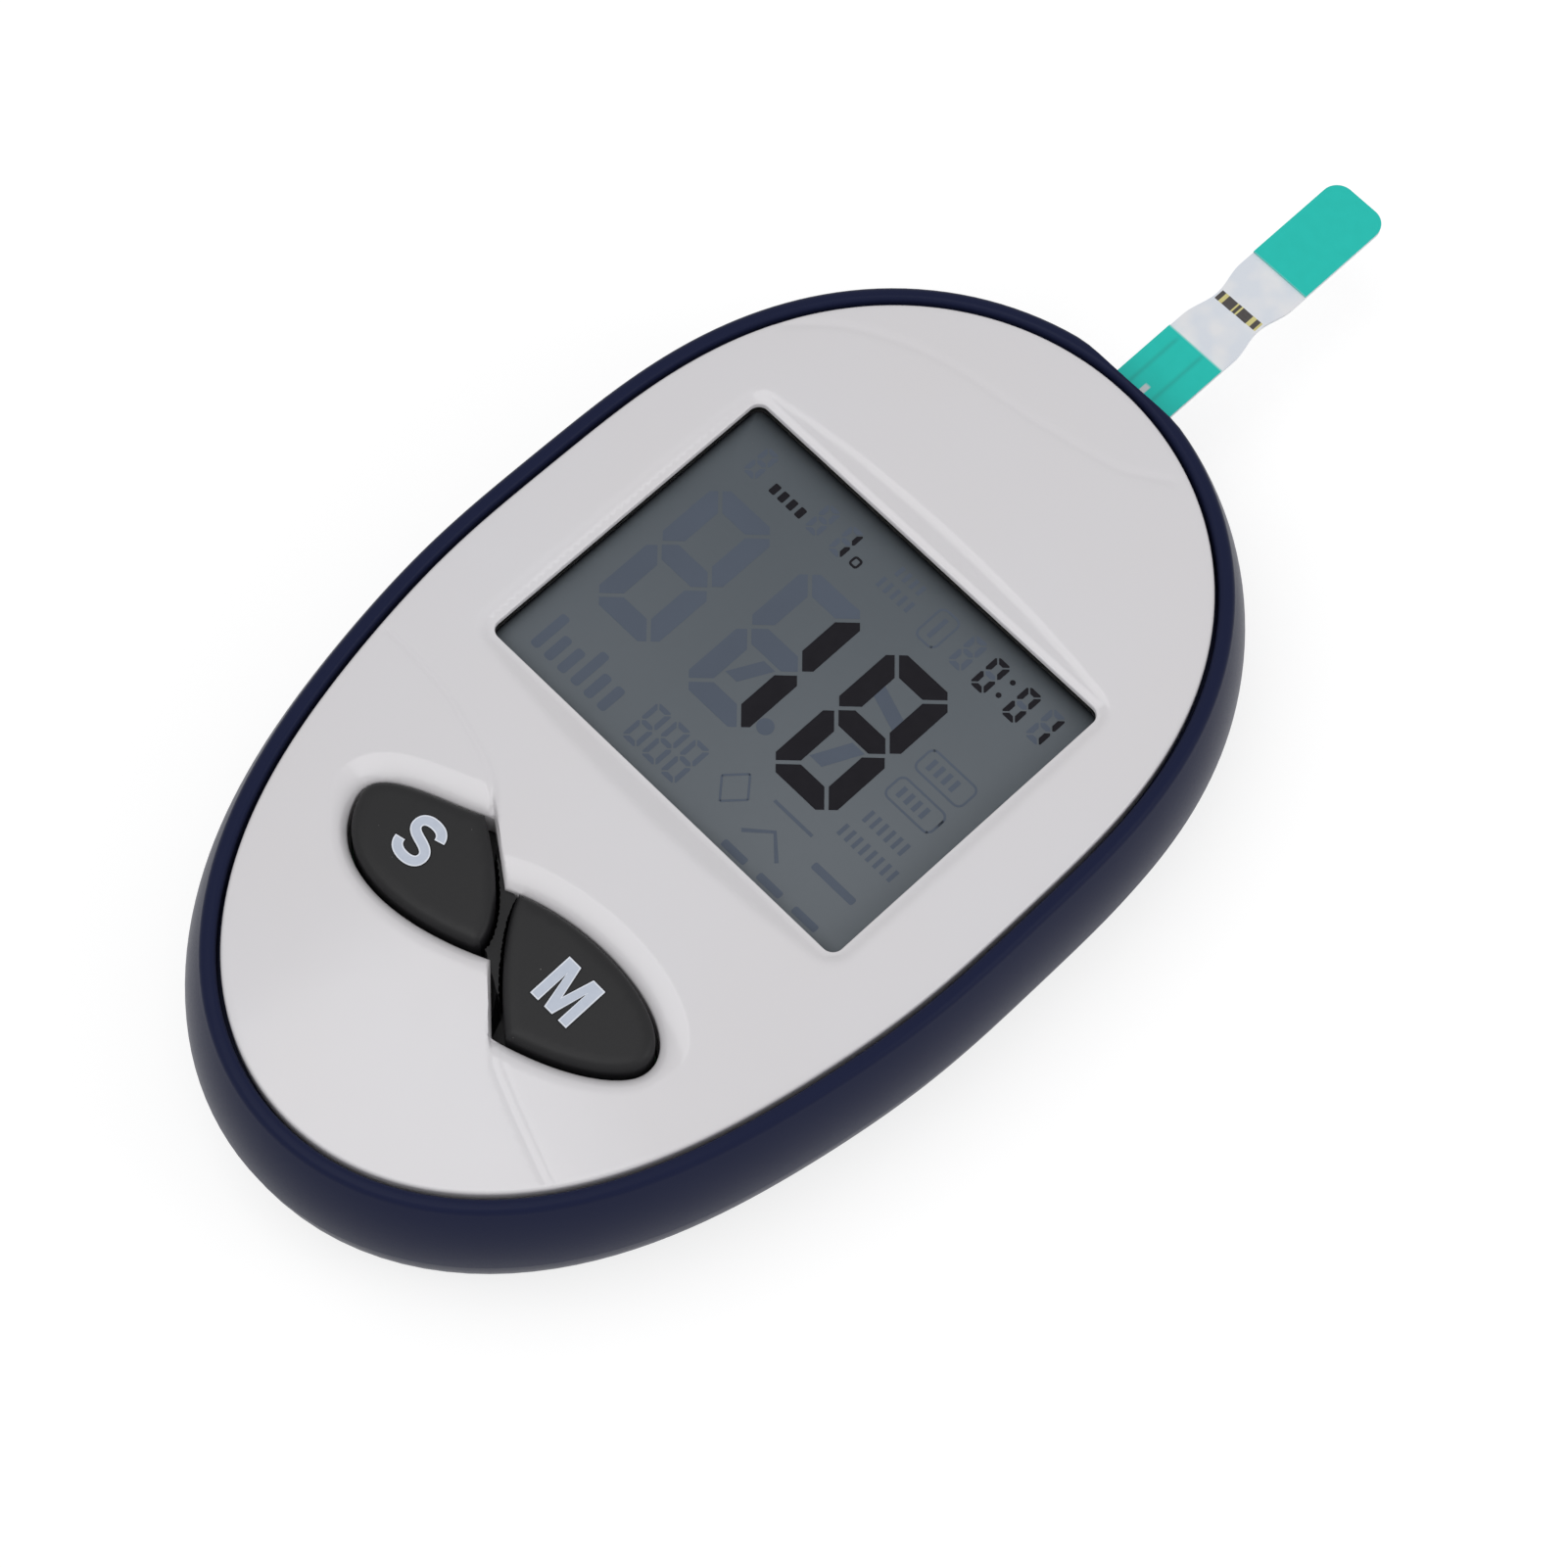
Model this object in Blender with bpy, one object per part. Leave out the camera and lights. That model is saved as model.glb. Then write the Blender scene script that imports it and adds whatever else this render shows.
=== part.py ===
"""Hand-held blood glucose meter with a test strip in its port.

Lengths are in metres. X runs across the meter, Y along it towards the strip, Z up from the
flat of the rear case to the display. The pieces are placed round the middle of the egg-shaped
plan. An empty then carries them all so that the origin is on the plain flat of the rear case,
between the battery door and the strip's end.
"""

import math

import bmesh
import bpy
from mathutils import Matrix, Vector
from mathutils.geometry import delaunay_2d_cdt

# Egg-shaped plan of the white cover: radius = mean + oval - egg + square - taper waves
PLAN_RADIUS = 0.0359
PLAN_OVAL = 0.00957
PLAN_EGG = 0.000825
PLAN_SQUARE = 0.00104
PLAN_TAPER = 0.000457
PLAN_STEPS = 64

# Clearances
PIECE_GAP = 0.0003
THIN_GAP = 0.00005
OVERRUN = 0.004

# Heights and walls of the housing
PARTING_HEIGHT = 0.0100
WALL_BULGE = 0.0033
RIM_REACH = 0.0018
RIM_LIP = 0.00035
HOUSING_WALL = 0.0018
LEDGE_DEPTH = 0.0022
LEDGE_THICKNESS = 0.0012
BASE_INSET = 0.0060
CASE_FLOOR = 0.0030
TONGUE_THICKNESS = 0.0009
TONGUE_HEIGHT = 0.0011
CURVE_STEPS = 6

# White cover
COVER_THICKNESS = 0.0015
DOME_RISE = 0.0023
COVER_EDGE_ROUND = 0.0003
SKIRT_THICKNESS = 0.0009

# Display
WINDOW_WIDTH = 0.0394
WINDOW_LENGTH = 0.0304
WINDOW_CENTRE_Y = 0.0074
WINDOW_CORNER = 0.0010
WINDOW_LIP_RISE = 0.0003
WINDOW_LIP_THICKNESS = 0.0006
WINDOW_LIP_WIDTH = 0.0003
BEZEL_SLOPE = 0.70
LENS_THICKNESS = 0.0007
LENS_MARGIN = 0.0009
GASKET_THICKNESS = 0.00025
GLASS_THICKNESS = 0.0019
GLASS_LIFT = 0.0017
GLASS_MARGIN = 0.0006
FRAME_WALL = 0.0010
CONTACT_RUBBER_WIDTH = 0.0016

# Buttons: two petals, point-symmetric about the pad's centre
PAD_CENTRE_X = -0.00015
PAD_CENTRE_Y = -0.02514
PETAL_REACH = 0.0166
PETAL_RISE = 0.0062
PETAL_GAP = 0.00035
PETAL_PROUD = 0.0004
PETAL_ROUND = 0.0008
BUTTON_TRAVEL = 0.0007
RECESS_WIDTH = 0.00165
RECESS_DEPTH = 0.0009
MAT_MARGIN = 0.0014
MAT_THICKNESS = 0.0026
WEB_DROP = 0.0012
WEB_GAP = 0.0002
PLUNGER_RADIUS = 0.0016
PLUNGER_LENGTH = 0.0006
DOME_RADIUS = 0.0034
DOME_HEIGHT = 0.0005
DOME_SHEET = 0.0002

# Circuit board
BOARD_THICKNESS = 0.0010
BOARD_INSET = 0.0009

# Test strip and its connector
STRIP_DROP = 0.0009
STRIP_LENGTH = 0.0350
STRIP_WIDTH = 0.0061
STRIP_BASE = 0.0003
STRIP_FILM = 0.00015
STRIP_TIP_Y = 0.0759
STRIP_TIP_CORNER = 0.0016
STRIP_HANDLE = 0.01045
STRIP_BARE = 0.01035
STRIP_WAIST = 0.0048
SLOT_CLEARANCE = 0.0004
PORT_FLAT_RADIUS = 0.0600
PORT_REACH = 0.00095
PORT_DRAFT = 0.0015
SOCKET_WIDTH = 0.0110
SOCKET_LENGTH = 0.0104
SOCKET_FLOOR = 0.0018
SOCKET_ROOF = 0.0012
SOCKET_SETBACK = 0.0025
STRIP_CONTACTS = 3
CONTACT_PITCH = 0.0018
CONTACT_WIDTH = 0.0007
CONTACT_SHEET = 0.0002
CONTACT_HUMP = 0.0005

# Battery bay, two cells side by side
CELL_DIAMETER = 0.0104
CELL_LENGTH = 0.0445
CELL_NUB_RADIUS = 0.0019
CELL_NUB_LENGTH = 0.0010
BAY_WALL = 0.0010
BAY_LOWER_Y = -0.0385
SPRING_ROOM = 0.0026
SPRING_WIRE = 0.0005
SPRING_WIDE = 0.0060
SPRING_NARROW = 0.0036
SPRING_TURNS = 3
CONTACT_PLATE = 0.0004
CONTACT_PLATE_HEIGHT = 0.0080

# Battery door, a plate that slides out of the strip-less end
DOOR_RECESS = 0.00015
DOOR_THICKNESS = 0.00135
DOOR_MARGIN = 0.0018
DOOR_TONGUE = 0.0008
DOOR_TONGUE_THICKNESS = 0.0005
GRIP_RIDGES = 4
GRIP_PITCH = 0.0016
GRIP_WIDTH = 0.0007
GRIP_DEPTH = 0.0004
GRIP_LENGTH = 0.0120

# Screws
SCREW_INSET = 0.0032
SCREW_UPPER_ANGLE = 25.0
SCREW_LOWER_ANGLE = 152.0
SCREW_SHANK = 0.0018
SCREW_HEAD = 0.0036
SCREW_HEAD_HEIGHT = 0.0013
SCREW_LENGTH = 0.0082
SCREW_SEAT = 0.0052
BOSS_WALL = 0.0013
SCREW_SLOT_WIDTH = 0.0005
SCREW_SLOT_DEPTH = 0.0006

# Parts on the board
CONTROLLER_SIDE = 0.0080
CONTROLLER_HEIGHT = 0.0014
CHIP_CLEARANCE = 0.0044
MEMORY_WIDTH = 0.0050
MEMORY_LENGTH = 0.0040
MEMORY_X = -0.0140
CRYSTAL_RADIUS = 0.0010
CRYSTAL_LENGTH = 0.0060
CRYSTAL_X = 0.0105
BUZZER_RADIUS = 0.0045
BUZZER_HEIGHT = 0.0028
BUZZER_CLEARANCE = 0.0023
BUZZER_Y = 0.0010

# Middle of the plain flat that the meter rests on, from the middle of the plan
REST_CENTRE_Y = 0.0258

# The stack from the door up through the cells, the board and the display sets the rim's height
SLOT_ROOF = DOOR_RECESS + DOOR_THICKNESS + PIECE_GAP
CELL_AXIS = SLOT_ROOF + CELL_DIAMETER / 2
CELL_TOP = CELL_AXIS + CELL_DIAMETER / 2
BOARD_UNDER = CELL_TOP + PIECE_GAP
BOARD_TOP = BOARD_UNDER + BOARD_THICKNESS
GLASS_UNDER = BOARD_TOP + GLASS_LIFT
GLASS_TOP = GLASS_UNDER + GLASS_THICKNESS
GASKET_TOP = GLASS_TOP + THIN_GAP + GASKET_THICKNESS
LENS_TOP = GASKET_TOP + THIN_GAP + LENS_THICKNESS
LIP_UNDER = LENS_TOP + THIN_GAP
LIP_TOP = LIP_UNDER + WINDOW_LIP_THICKNESS
RIM_HEIGHT = LIP_TOP - WINDOW_LIP_RISE
LEDGE_TOP = RIM_HEIGHT - LEDGE_DEPTH

# Other places that follow from the sizes above
MAT_UNDER = BOARD_TOP + THIN_GAP
MAT_TOP = MAT_UNDER + MAT_THICKNESS
STRIP_HEIGHT = BOARD_TOP - STRIP_DROP
STRIP_TOP = STRIP_HEIGHT + STRIP_BASE + THIN_GAP + STRIP_FILM
STRIP_INNER_Y = STRIP_TIP_Y - STRIP_LENGTH
PETAL_UNDER = BOARD_TOP + THIN_GAP + DOME_HEIGHT + BUTTON_TRAVEL + PLUNGER_LENGTH + THIN_GAP
BAY_HALF_WIDTH = CELL_DIAMETER + PIECE_GAP * 2
BAY_LENGTH = CELL_LENGTH + SPRING_ROOM + CONTACT_PLATE * 2 + PIECE_GAP * 4
BAY_UPPER_Y = BAY_LOWER_Y + BAY_LENGTH
CHIP_ROW_Y = BAY_UPPER_Y + BAY_WALL + CHIP_CLEARANCE + CONTROLLER_SIDE / 2
BUZZER_X = -(BAY_HALF_WIDTH + BAY_WALL + BUZZER_CLEARANCE + BUZZER_RADIUS)


# Plan of the meter


def plan_radius(angle):
    """Radius of the cover's edge, at an angle measured from +Y towards +X."""
    return (
        PLAN_RADIUS
        + PLAN_OVAL * math.cos(2 * angle)
        - PLAN_EGG * math.cos(3 * angle)
        + PLAN_SQUARE * math.cos(4 * angle)
        - PLAN_TAPER * math.cos(5 * angle)
    )


def plan_turn(angle):
    """How fast the radius grows with the angle."""
    return (
        -2 * PLAN_OVAL * math.sin(2 * angle)
        + 3 * PLAN_EGG * math.sin(3 * angle)
        - 4 * PLAN_SQUARE * math.sin(4 * angle)
        + 5 * PLAN_TAPER * math.sin(5 * angle)
    )


def plan_point(angle, offset=0.0):
    """A point at a distance outside the cover's edge, square to that edge."""
    radius, turn = plan_radius(angle), plan_turn(angle)
    across, along = math.sin(angle), math.cos(angle)
    tangent = Vector((turn * across + radius * along, turn * along - radius * across)).normalized()
    return Vector((radius * across - tangent.y * offset, radius * along + tangent.x * offset))


def plan_ring(offset, steps=PLAN_STEPS):
    return [plan_point(math.tau * i / steps, offset) for i in range(steps)]


def plan_inset(point):
    """How far a point lies inside the cover's edge, square to that edge."""
    angle = math.atan2(point.x, point.y)
    radius, turn = plan_radius(angle), plan_turn(angle)
    return (radius - point.length) * radius / math.hypot(radius, turn)


def dome_height(point):
    share = point.length / plan_radius(math.atan2(point.x, point.y))
    return RIM_HEIGHT + DOME_RISE * (1 - share * share)


# Loops of points in the plan


def arc(centre, radius, start, end, steps):
    turns = [math.radians(start + (end - start) * i / steps) for i in range(steps + 1)]
    return [Vector((centre[0] + radius * math.cos(t), centre[1] + radius * math.sin(t))) for t in turns]


def circle(centre, radius, steps=16):
    return arc(centre, radius, 0, 360, steps)[:-1]


def rounded_box(centre, width, length, corner, steps=3):
    """Anticlockwise loop of a rectangle with round corners."""
    x, y = width / 2 - corner, length / 2 - corner
    loop = []
    for sx, sy, start in ((1, 1, 0), (-1, 1, 90), (-1, -1, 180), (1, -1, 270)):
        loop += arc((centre[0] + sx * x, centre[1] + sy * y), corner, start, start + 90, steps)
    return loop


def plain_box(centre, width, length):
    x, y = width / 2, length / 2
    corners = ((x, y), (-x, y), (-x, -y), (x, -y))
    return [Vector((centre[0] + dx, centre[1] + dy)) for dx, dy in corners]


def bezier(points, steps):
    """Points along a cubic curve, without its last one."""
    a, b, c, d = (Vector(p) for p in points)
    curve = []
    for i in range(steps):
        t = i / steps
        curve.append(a * (1 - t) ** 3 + b * 3 * t * (1 - t) ** 2 + c * 3 * t * t * (1 - t) + d * t**3)
    return curve


def divided(loop, longest):
    """The loop with its long sides cut into equal pieces."""
    points = []
    for a, b in zip(loop, loop[1:] + loop[:1]):
        pieces = max(1, math.ceil((b - a).length / longest))
        points += [a.lerp(b, i / pieces) for i in range(pieces)]
    return points


def loop_area(loop):
    return sum(a.x * b.y - b.x * a.y for a, b in zip(loop, loop[1:] + loop[:1])) / 2


def offset_loop(loop, distance):
    """The loop grown by a distance, or shrunk by a negative one."""
    side = 1 if loop_area(loop) > 0 else -1
    grown = []
    for before, here, after in zip(loop[-1:] + loop[:-1], loop, loop[1:] + loop[:1]):
        first, second = (here - before).normalized(), (after - here).normalized()
        middle = (first + second).normalized()
        outward = Vector((middle.y, -middle.x)) * side
        grown.append(here + outward * distance / max(0.5, middle.dot(second)))
    return grown


def inside_loop(point, loop):
    odd = False
    for a, b in zip(loop, loop[1:] + loop[:1]):
        if (a.y > point.y) != (b.y > point.y):
            if point.x < a.x + (b.x - a.x) * (point.y - a.y) / (b.y - a.y):
                odd = not odd
    return odd


def loop_distance(point, loop):
    """Distance from a point to the nearest side of a loop."""
    best = math.inf
    for a, b in zip(loop, loop[1:] + loop[:1]):
        side = b - a
        along = max(0.0, min(1.0, (point - a).dot(side) / side.length_squared))
        best = min(best, (point - a - side * along).length)
    return best


# Objects


def finish(name, colour, roughness, metallic=0.0):
    material = bpy.data.materials.new(name)
    material.use_nodes = True
    shader = material.node_tree.nodes["Principled BSDF"]
    shader.inputs["Base Color"].default_value = (*colour, 1.0)
    shader.inputs["Roughness"].default_value = roughness
    shader.inputs["Metallic"].default_value = metallic
    return material


def place(bm, name, material, origin=(0.0, 0.0, 0.0), smooth=True):
    """The mesh as an object whose own origin is at a point of the meter."""
    bmesh.ops.recalc_face_normals(bm, faces=bm.faces[:])
    bmesh.ops.translate(bm, verts=bm.verts[:], vec=-Vector(origin))
    mesh = bpy.data.meshes.new(name)
    bm.to_mesh(mesh)
    bm.free()
    if smooth:
        mesh.shade_smooth()
        mesh.set_sharp_from_angle(angle=math.radians(35))
    obj = bpy.data.objects.new(name, mesh)
    obj.location = origin
    bpy.context.scene.collection.objects.link(obj)
    if material:
        mesh.materials.append(material)
    return obj


def as_cutter(obj):
    obj.hide_render = True
    obj.display_type = "WIRE"
    return obj


def join(obj, other, operation):
    modifier = obj.modifiers.new(other.name, "BOOLEAN")
    modifier.operation = operation
    modifier.solver = "EXACT"
    modifier.object = as_cutter(other)


def cut(obj, *cutters):
    for cutter in cutters:
        join(obj, cutter, "DIFFERENCE")


def unite(obj, *others):
    for other in others:
        join(obj, other, "UNION")


def ring_mesh(rings, closed):
    """Rings of points joined side by side: into a tube that closes on itself, or a capped solid."""
    bm = bmesh.new()
    loops = [[bm.verts.new(p) for p in ring] for ring in rings]
    pairs = list(zip(loops, loops[1:]))
    if closed:
        pairs.append((loops[-1], loops[0]))
    else:
        bm.faces.new(loops[0])
        bm.faces.new(loops[-1])
    for low, high in pairs:
        for i in range(len(low)):
            j = (i + 1) % len(low)
            bm.faces.new((low[i], low[j], high[j], high[i]))
    return bm


def swept(profile, closed=False, steps=PLAN_STEPS):
    """A solid that follows the plan: the profile gives an offset from the cover's edge and a height."""
    rings = [[(*p, z) for p in plan_ring(offset, steps)] for offset, z in profile]
    return ring_mesh(rings, closed)


def turned(profile, steps=16):
    """A capped solid of revolution about Z from (radius, height) points, from the bottom up."""
    rings = [[(*p, z) for p in circle((0.0, 0.0), radius, steps)] for radius, z in profile]
    return ring_mesh(rings, False)


def skin(outline, bottom, top, holes=(), guides=()):
    """A solid between two heights over a loop with holes. A height is a number or a rule for a point.

    Guides are further loops of points that the faces follow.
    """
    loops = [outline, *holes, *guides]
    points, edges = [], []
    for loop in loops:
        first = len(points)
        points += [p.copy() for p in loop]
        if len(loop) > 2:
            edges += [(first + i, first + (i + 1) % len(loop)) for i in range(len(loop))]
    points, _, faces, _, _, _ = delaunay_2d_cdt(points, edges, [], 0, THIN_GAP / 50)
    kept = []
    for face in faces:
        middle = sum((points[i] for i in face), Vector((0.0, 0.0))) / len(face)
        if inside_loop(middle, outline) and not any(inside_loop(middle, hole) for hole in holes):
            kept.append(face)
    used = sorted({i for face in kept for i in face})
    low_z = bottom if callable(bottom) else lambda p: bottom
    top_z = top if callable(top) else lambda p: top
    bm = bmesh.new()
    low = {i: bm.verts.new((*points[i], low_z(points[i]))) for i in used}
    high = {i: bm.verts.new((*points[i], top_z(points[i]))) for i in used}
    sides = set()
    for face in kept:
        bm.faces.new([high[i] for i in face])
        bm.faces.new([low[i] for i in reversed(face)])
        for i, j in zip(face, face[1:] + face[:1]):
            sides.add((i, j))
    for i, j in sides:
        if (j, i) not in sides:
            bm.faces.new((high[j], high[i], low[i], low[j]))
    return bm


def block(name, material, centre, size, origin=(0.0, 0.0, 0.0)):
    """A box given by its middle and its three sides."""
    bm = skin(plain_box(centre, size[0], size[1]), centre[2] - size[2] / 2, centre[2] + size[2] / 2)
    return place(bm, name, material, origin, smooth=False)


def span(name, material, low, high):
    """A box given by its lowest and highest corners."""
    size = [b - a for a, b in zip(low, high)]
    return block(name, material, [(a + b) / 2 for a, b in zip(low, high)], size)


def drum(name, material, centre, radius, bottom, top, steps=16):
    return place(skin(circle(centre, radius, steps), bottom, top), name, material)


# Outlines of the buttons. Shares are of the petal's reach across and of its rise along the meter.
TOP_CORNER_SHARES = (-0.386, 1.0)
CUT_EDGE_SHARES = ((-0.235, 0.629), (-0.03, 0.097))
WAIST_CORNER_SHARES = (0.117, -0.413)
OUTER_ARC_SHARES = ((-0.269, -1.014), (-0.982, -0.961))
NOSE_SHARES = (-0.994, -0.016)
INNER_ARC_SHARES = ((-1.006, 0.395), (-0.715, 0.858))


def pad_point(shares, side=1):
    across = side * shares[0] * PETAL_REACH
    along = side * shares[1] * PETAL_RISE
    return Vector((PAD_CENTRE_X + across, PAD_CENTRE_Y + along))


def pad_curve(shares, side, steps):
    return bezier([pad_point(s, side) for s in shares], steps)


def petal_arcs(side):
    """From the waist corner round the nose to the top corner."""
    outer = pad_curve((WAIST_CORNER_SHARES, *OUTER_ARC_SHARES, NOSE_SHARES), side, 10)
    inner = pad_curve((NOSE_SHARES, *INNER_ARC_SHARES, TOP_CORNER_SHARES), side, 7)
    return outer + inner


def petal_loop(side):
    """One petal's full share of the opening, clockwise."""
    edge = pad_curve((TOP_CORNER_SHARES, *CUT_EDGE_SHARES, WAIST_CORNER_SHARES), side, 4)
    return petal_arcs(side) + edge


def opening_loop():
    """The opening in the cover, round both petals."""
    loop = []
    for side in (1, -1):
        loop += petal_arcs(side)
        loop.append(pad_point(TOP_CORNER_SHARES, side))
    return loop


def beyond_cut_edge(point, side):
    """How far a point lies past the line of a petal's cut edge, on the other petal's side."""
    corner = pad_point(TOP_CORNER_SHARES, side)
    line = (pad_point(WAIST_CORNER_SHARES, -side) - corner).normalized()
    return (point - corner).dot(Vector((-line.y, line.x)) * side)


OPENING = opening_loop()


def recess_drop(point):
    """Depth of the scooped border round the petals."""
    gap = loop_distance(point, OPENING)
    if gap >= RECESS_WIDTH:
        return 0.0
    side = 1 if (point - pad_point((0.0, 0.0))).x < 0 else -1
    past = beyond_cut_edge(point, side)
    fade = max(0.0, min(1.0, -past / PETAL_ROUND))
    return RECESS_DEPTH * (1 - gap / RECESS_WIDTH) ** 2 * fade


def window_gap(point):
    """Distance outside the window's rounded rectangle, negative inside it."""
    x = abs(point.x) - WINDOW_WIDTH / 2 + WINDOW_CORNER
    y = abs(point.y - WINDOW_CENTRE_Y) - WINDOW_LENGTH / 2 + WINDOW_CORNER
    return math.hypot(max(x, 0.0), max(y, 0.0)) + min(max(x, y), 0.0) - WINDOW_CORNER


def window_loop(margin, steps=3):
    width, length = WINDOW_WIDTH + margin * 2, WINDOW_LENGTH + margin * 2
    return rounded_box((0.0, WINDOW_CENTRE_Y), width, length, WINDOW_CORNER + max(margin, 0.0), steps)


def bezel_height(point):
    """Height of the slope that rises from the window's lip."""
    return LIP_TOP + BEZEL_SLOPE * max(0.0, window_gap(point) - WINDOW_LIP_WIDTH)


def bezel_crest():
    """Where the slope round the window meets the dome."""
    crest = []
    ring = divided(window_loop(WINDOW_LIP_WIDTH), WINDOW_WIDTH / 8)
    for point, outer in zip(ring, offset_loop(ring, PIECE_GAP)):
        outward = (outer - point).normalized()
        near, far = 0.0, COVER_THICKNESS * 3
        for _ in range(12):
            middle = (near + far) / 2
            spot = point + outward * middle
            if bezel_height(spot) < dome_height(spot):
                near = middle
            else:
                far = middle
        crest.append(point + outward * near)
    return crest


# Shells


def front_cover(white):
    pocket = LENS_MARGIN + PIECE_GAP
    step = THIN_GAP * 2
    pad_wall = RECESS_WIDTH + PIECE_GAP
    skirt = SKIRT_THICKNESS

    def top(point):
        height = min(dome_height(point), bezel_height(point)) - recess_drop(point)
        edge = max(0.0, 1 - plan_inset(point) / COVER_EDGE_ROUND)
        return height - COVER_EDGE_ROUND * edge * edge

    def bottom(point):
        if window_gap(point) < pocket + step / 2:
            return LIP_UNDER
        if plan_inset(point) < skirt + step / 2:
            return LEDGE_TOP + PIECE_GAP
        if loop_distance(point, OPENING) < pad_wall + step / 2:
            return MAT_TOP + PIECE_GAP
        return min(dome_height(point), bezel_height(point)) - COVER_THICKNESS

    guides = [plan_ring(-COVER_EDGE_ROUND), plan_ring(-skirt), plan_ring(-skirt - step)]
    guides += [divided(window_loop(WINDOW_LIP_WIDTH), WINDOW_WIDTH / 8), bezel_crest()]
    guides += [window_loop(pocket), window_loop(pocket + step)]
    coarse = opening_loop()
    for margin in (RECESS_WIDTH / 3, RECESS_WIDTH, pad_wall, pad_wall + step):
        guides.append(offset_loop(coarse, margin))
    for share in (0.3, 0.55, 0.78, 0.9):
        ring = [p * share for p in plan_ring(0.0, PLAN_STEPS // 2)]
        clear = [p for p in ring if window_gap(p) > pocket * 2 and outside_pad(p, pad_wall * 1.3)]
        guides += [[p] for p in clear]
    holes = [divided(window_loop(0.0), WINDOW_WIDTH / 8), OPENING]
    return place(skin(plan_ring(0.0), bottom, top, holes, guides), "front_cover", white)


def outside_pad(point, margin):
    return not inside_loop(point, OPENING) and loop_distance(point, OPENING) > margin


def screw_spots():
    spots = []
    for angle in (SCREW_UPPER_ANGLE, SCREW_LOWER_ANGLE, -SCREW_LOWER_ANGLE, -SCREW_UPPER_ANGLE):
        spots.append(plan_point(math.radians(angle), -SCREW_INSET))
    return spots


def wall_curve(z):
    """Offset of the housing's outer wall at a height: it leans out towards the parting line."""
    share = (z - PARTING_HEIGHT) / (RIM_HEIGHT - PARTING_HEIGHT)
    return WALL_BULGE - (WALL_BULGE - RIM_REACH) * share**2


def upper_housing(navy):
    wall_height = RIM_HEIGHT - PARTING_HEIGHT
    lower_edge = WALL_BULGE - COVER_EDGE_ROUND
    profile = [(lower_edge, PARTING_HEIGHT)]
    for i in range(CURVE_STEPS + 1):
        share = 0.04 + (0.92 - 0.04) * i / CURVE_STEPS
        z = PARTING_HEIGHT + wall_height * share
        profile.append((wall_curve(z), z))
    lip_width = RIM_REACH - RIM_LIP
    profile.append((RIM_LIP + lip_width * 0.72, RIM_HEIGHT))
    profile.append((RIM_LIP + lip_width * 0.34, RIM_HEIGHT + RIM_LIP / 2))
    profile.append((RIM_LIP, RIM_HEIGHT - RIM_LIP))
    profile.append((RIM_LIP, LEDGE_TOP))
    ledge_edge = -SKIRT_THICKNESS - RIM_LIP
    profile.append((ledge_edge, LEDGE_TOP))
    profile.append((ledge_edge, LEDGE_TOP - LEDGE_THICKNESS))
    inner = lower_edge - HOUSING_WALL
    profile.append((RIM_LIP, LEDGE_TOP - LEDGE_THICKNESS))
    profile.append((inner, LEDGE_TOP - LEDGE_THICKNESS - HOUSING_WALL / 2))
    profile.append((inner, PARTING_HEIGHT))
    housing = place(swept(profile, closed=True), "upper_housing", navy)

    boss_top = LEDGE_TOP - LEDGE_THICKNESS / 2
    boss_radius = SCREW_SHANK / 2 + PIECE_GAP + BOSS_WALL
    for i, spot in enumerate(screw_spots()):
        boss = drum(f"boss_{i}", None, spot, boss_radius, PARTING_HEIGHT + PIECE_GAP, boss_top)
        unite(housing, boss)
    for i, spot in enumerate(screw_spots()):
        top = PARTING_HEIGHT + SCREW_LENGTH / 2
        cut(housing, drum(f"boss_hole_{i}", None, spot, SCREW_SHANK / 2 + PIECE_GAP, 0.0, top, 12))

    rings = []
    low_end = (PORT_REACH + PORT_DRAFT, PARTING_HEIGHT - OVERRUN)
    for reach, z in (low_end, (PORT_REACH, RIM_HEIGHT + OVERRUN)):
        centre = (0.0, plan_point(0.0, reach).y + PORT_FLAT_RADIUS)
        rings.append([(*p, z) for p in circle(centre, PORT_FLAT_RADIUS, PLAN_STEPS * 2)])
    cut(housing, place(ring_mesh(rings, False), "port_flat", None))
    outermost = plan_point(0.0, WALL_BULGE).y
    half = STRIP_WIDTH / 2 + SLOT_CLEARANCE
    low = (-half, plan_point(0.0).y - OVERRUN, STRIP_HEIGHT - SLOT_CLEARANCE)
    high = (half, outermost + OVERRUN, STRIP_TOP + SLOT_CLEARANCE)
    cut(housing, span("port_slot", None, low, high))
    return housing


def case_profile(shrink=0.0):
    """Outer profile of the rear case, from the middle of its flat to the parting line."""
    reach = WALL_BULGE - COVER_EDGE_ROUND + BASE_INSET
    height = PARTING_HEIGHT - PIECE_GAP
    profile = []
    for i in range(CURVE_STEPS + 1):
        turn = math.pi / 2 * i / CURVE_STEPS
        offset = -BASE_INSET + reach * math.sin(turn) - shrink
        profile.append((offset, height * (1 - math.cos(turn)) + shrink * math.cos(turn)))
    return profile


def door_half_width():
    return BAY_HALF_WIDTH + DOOR_MARGIN


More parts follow.
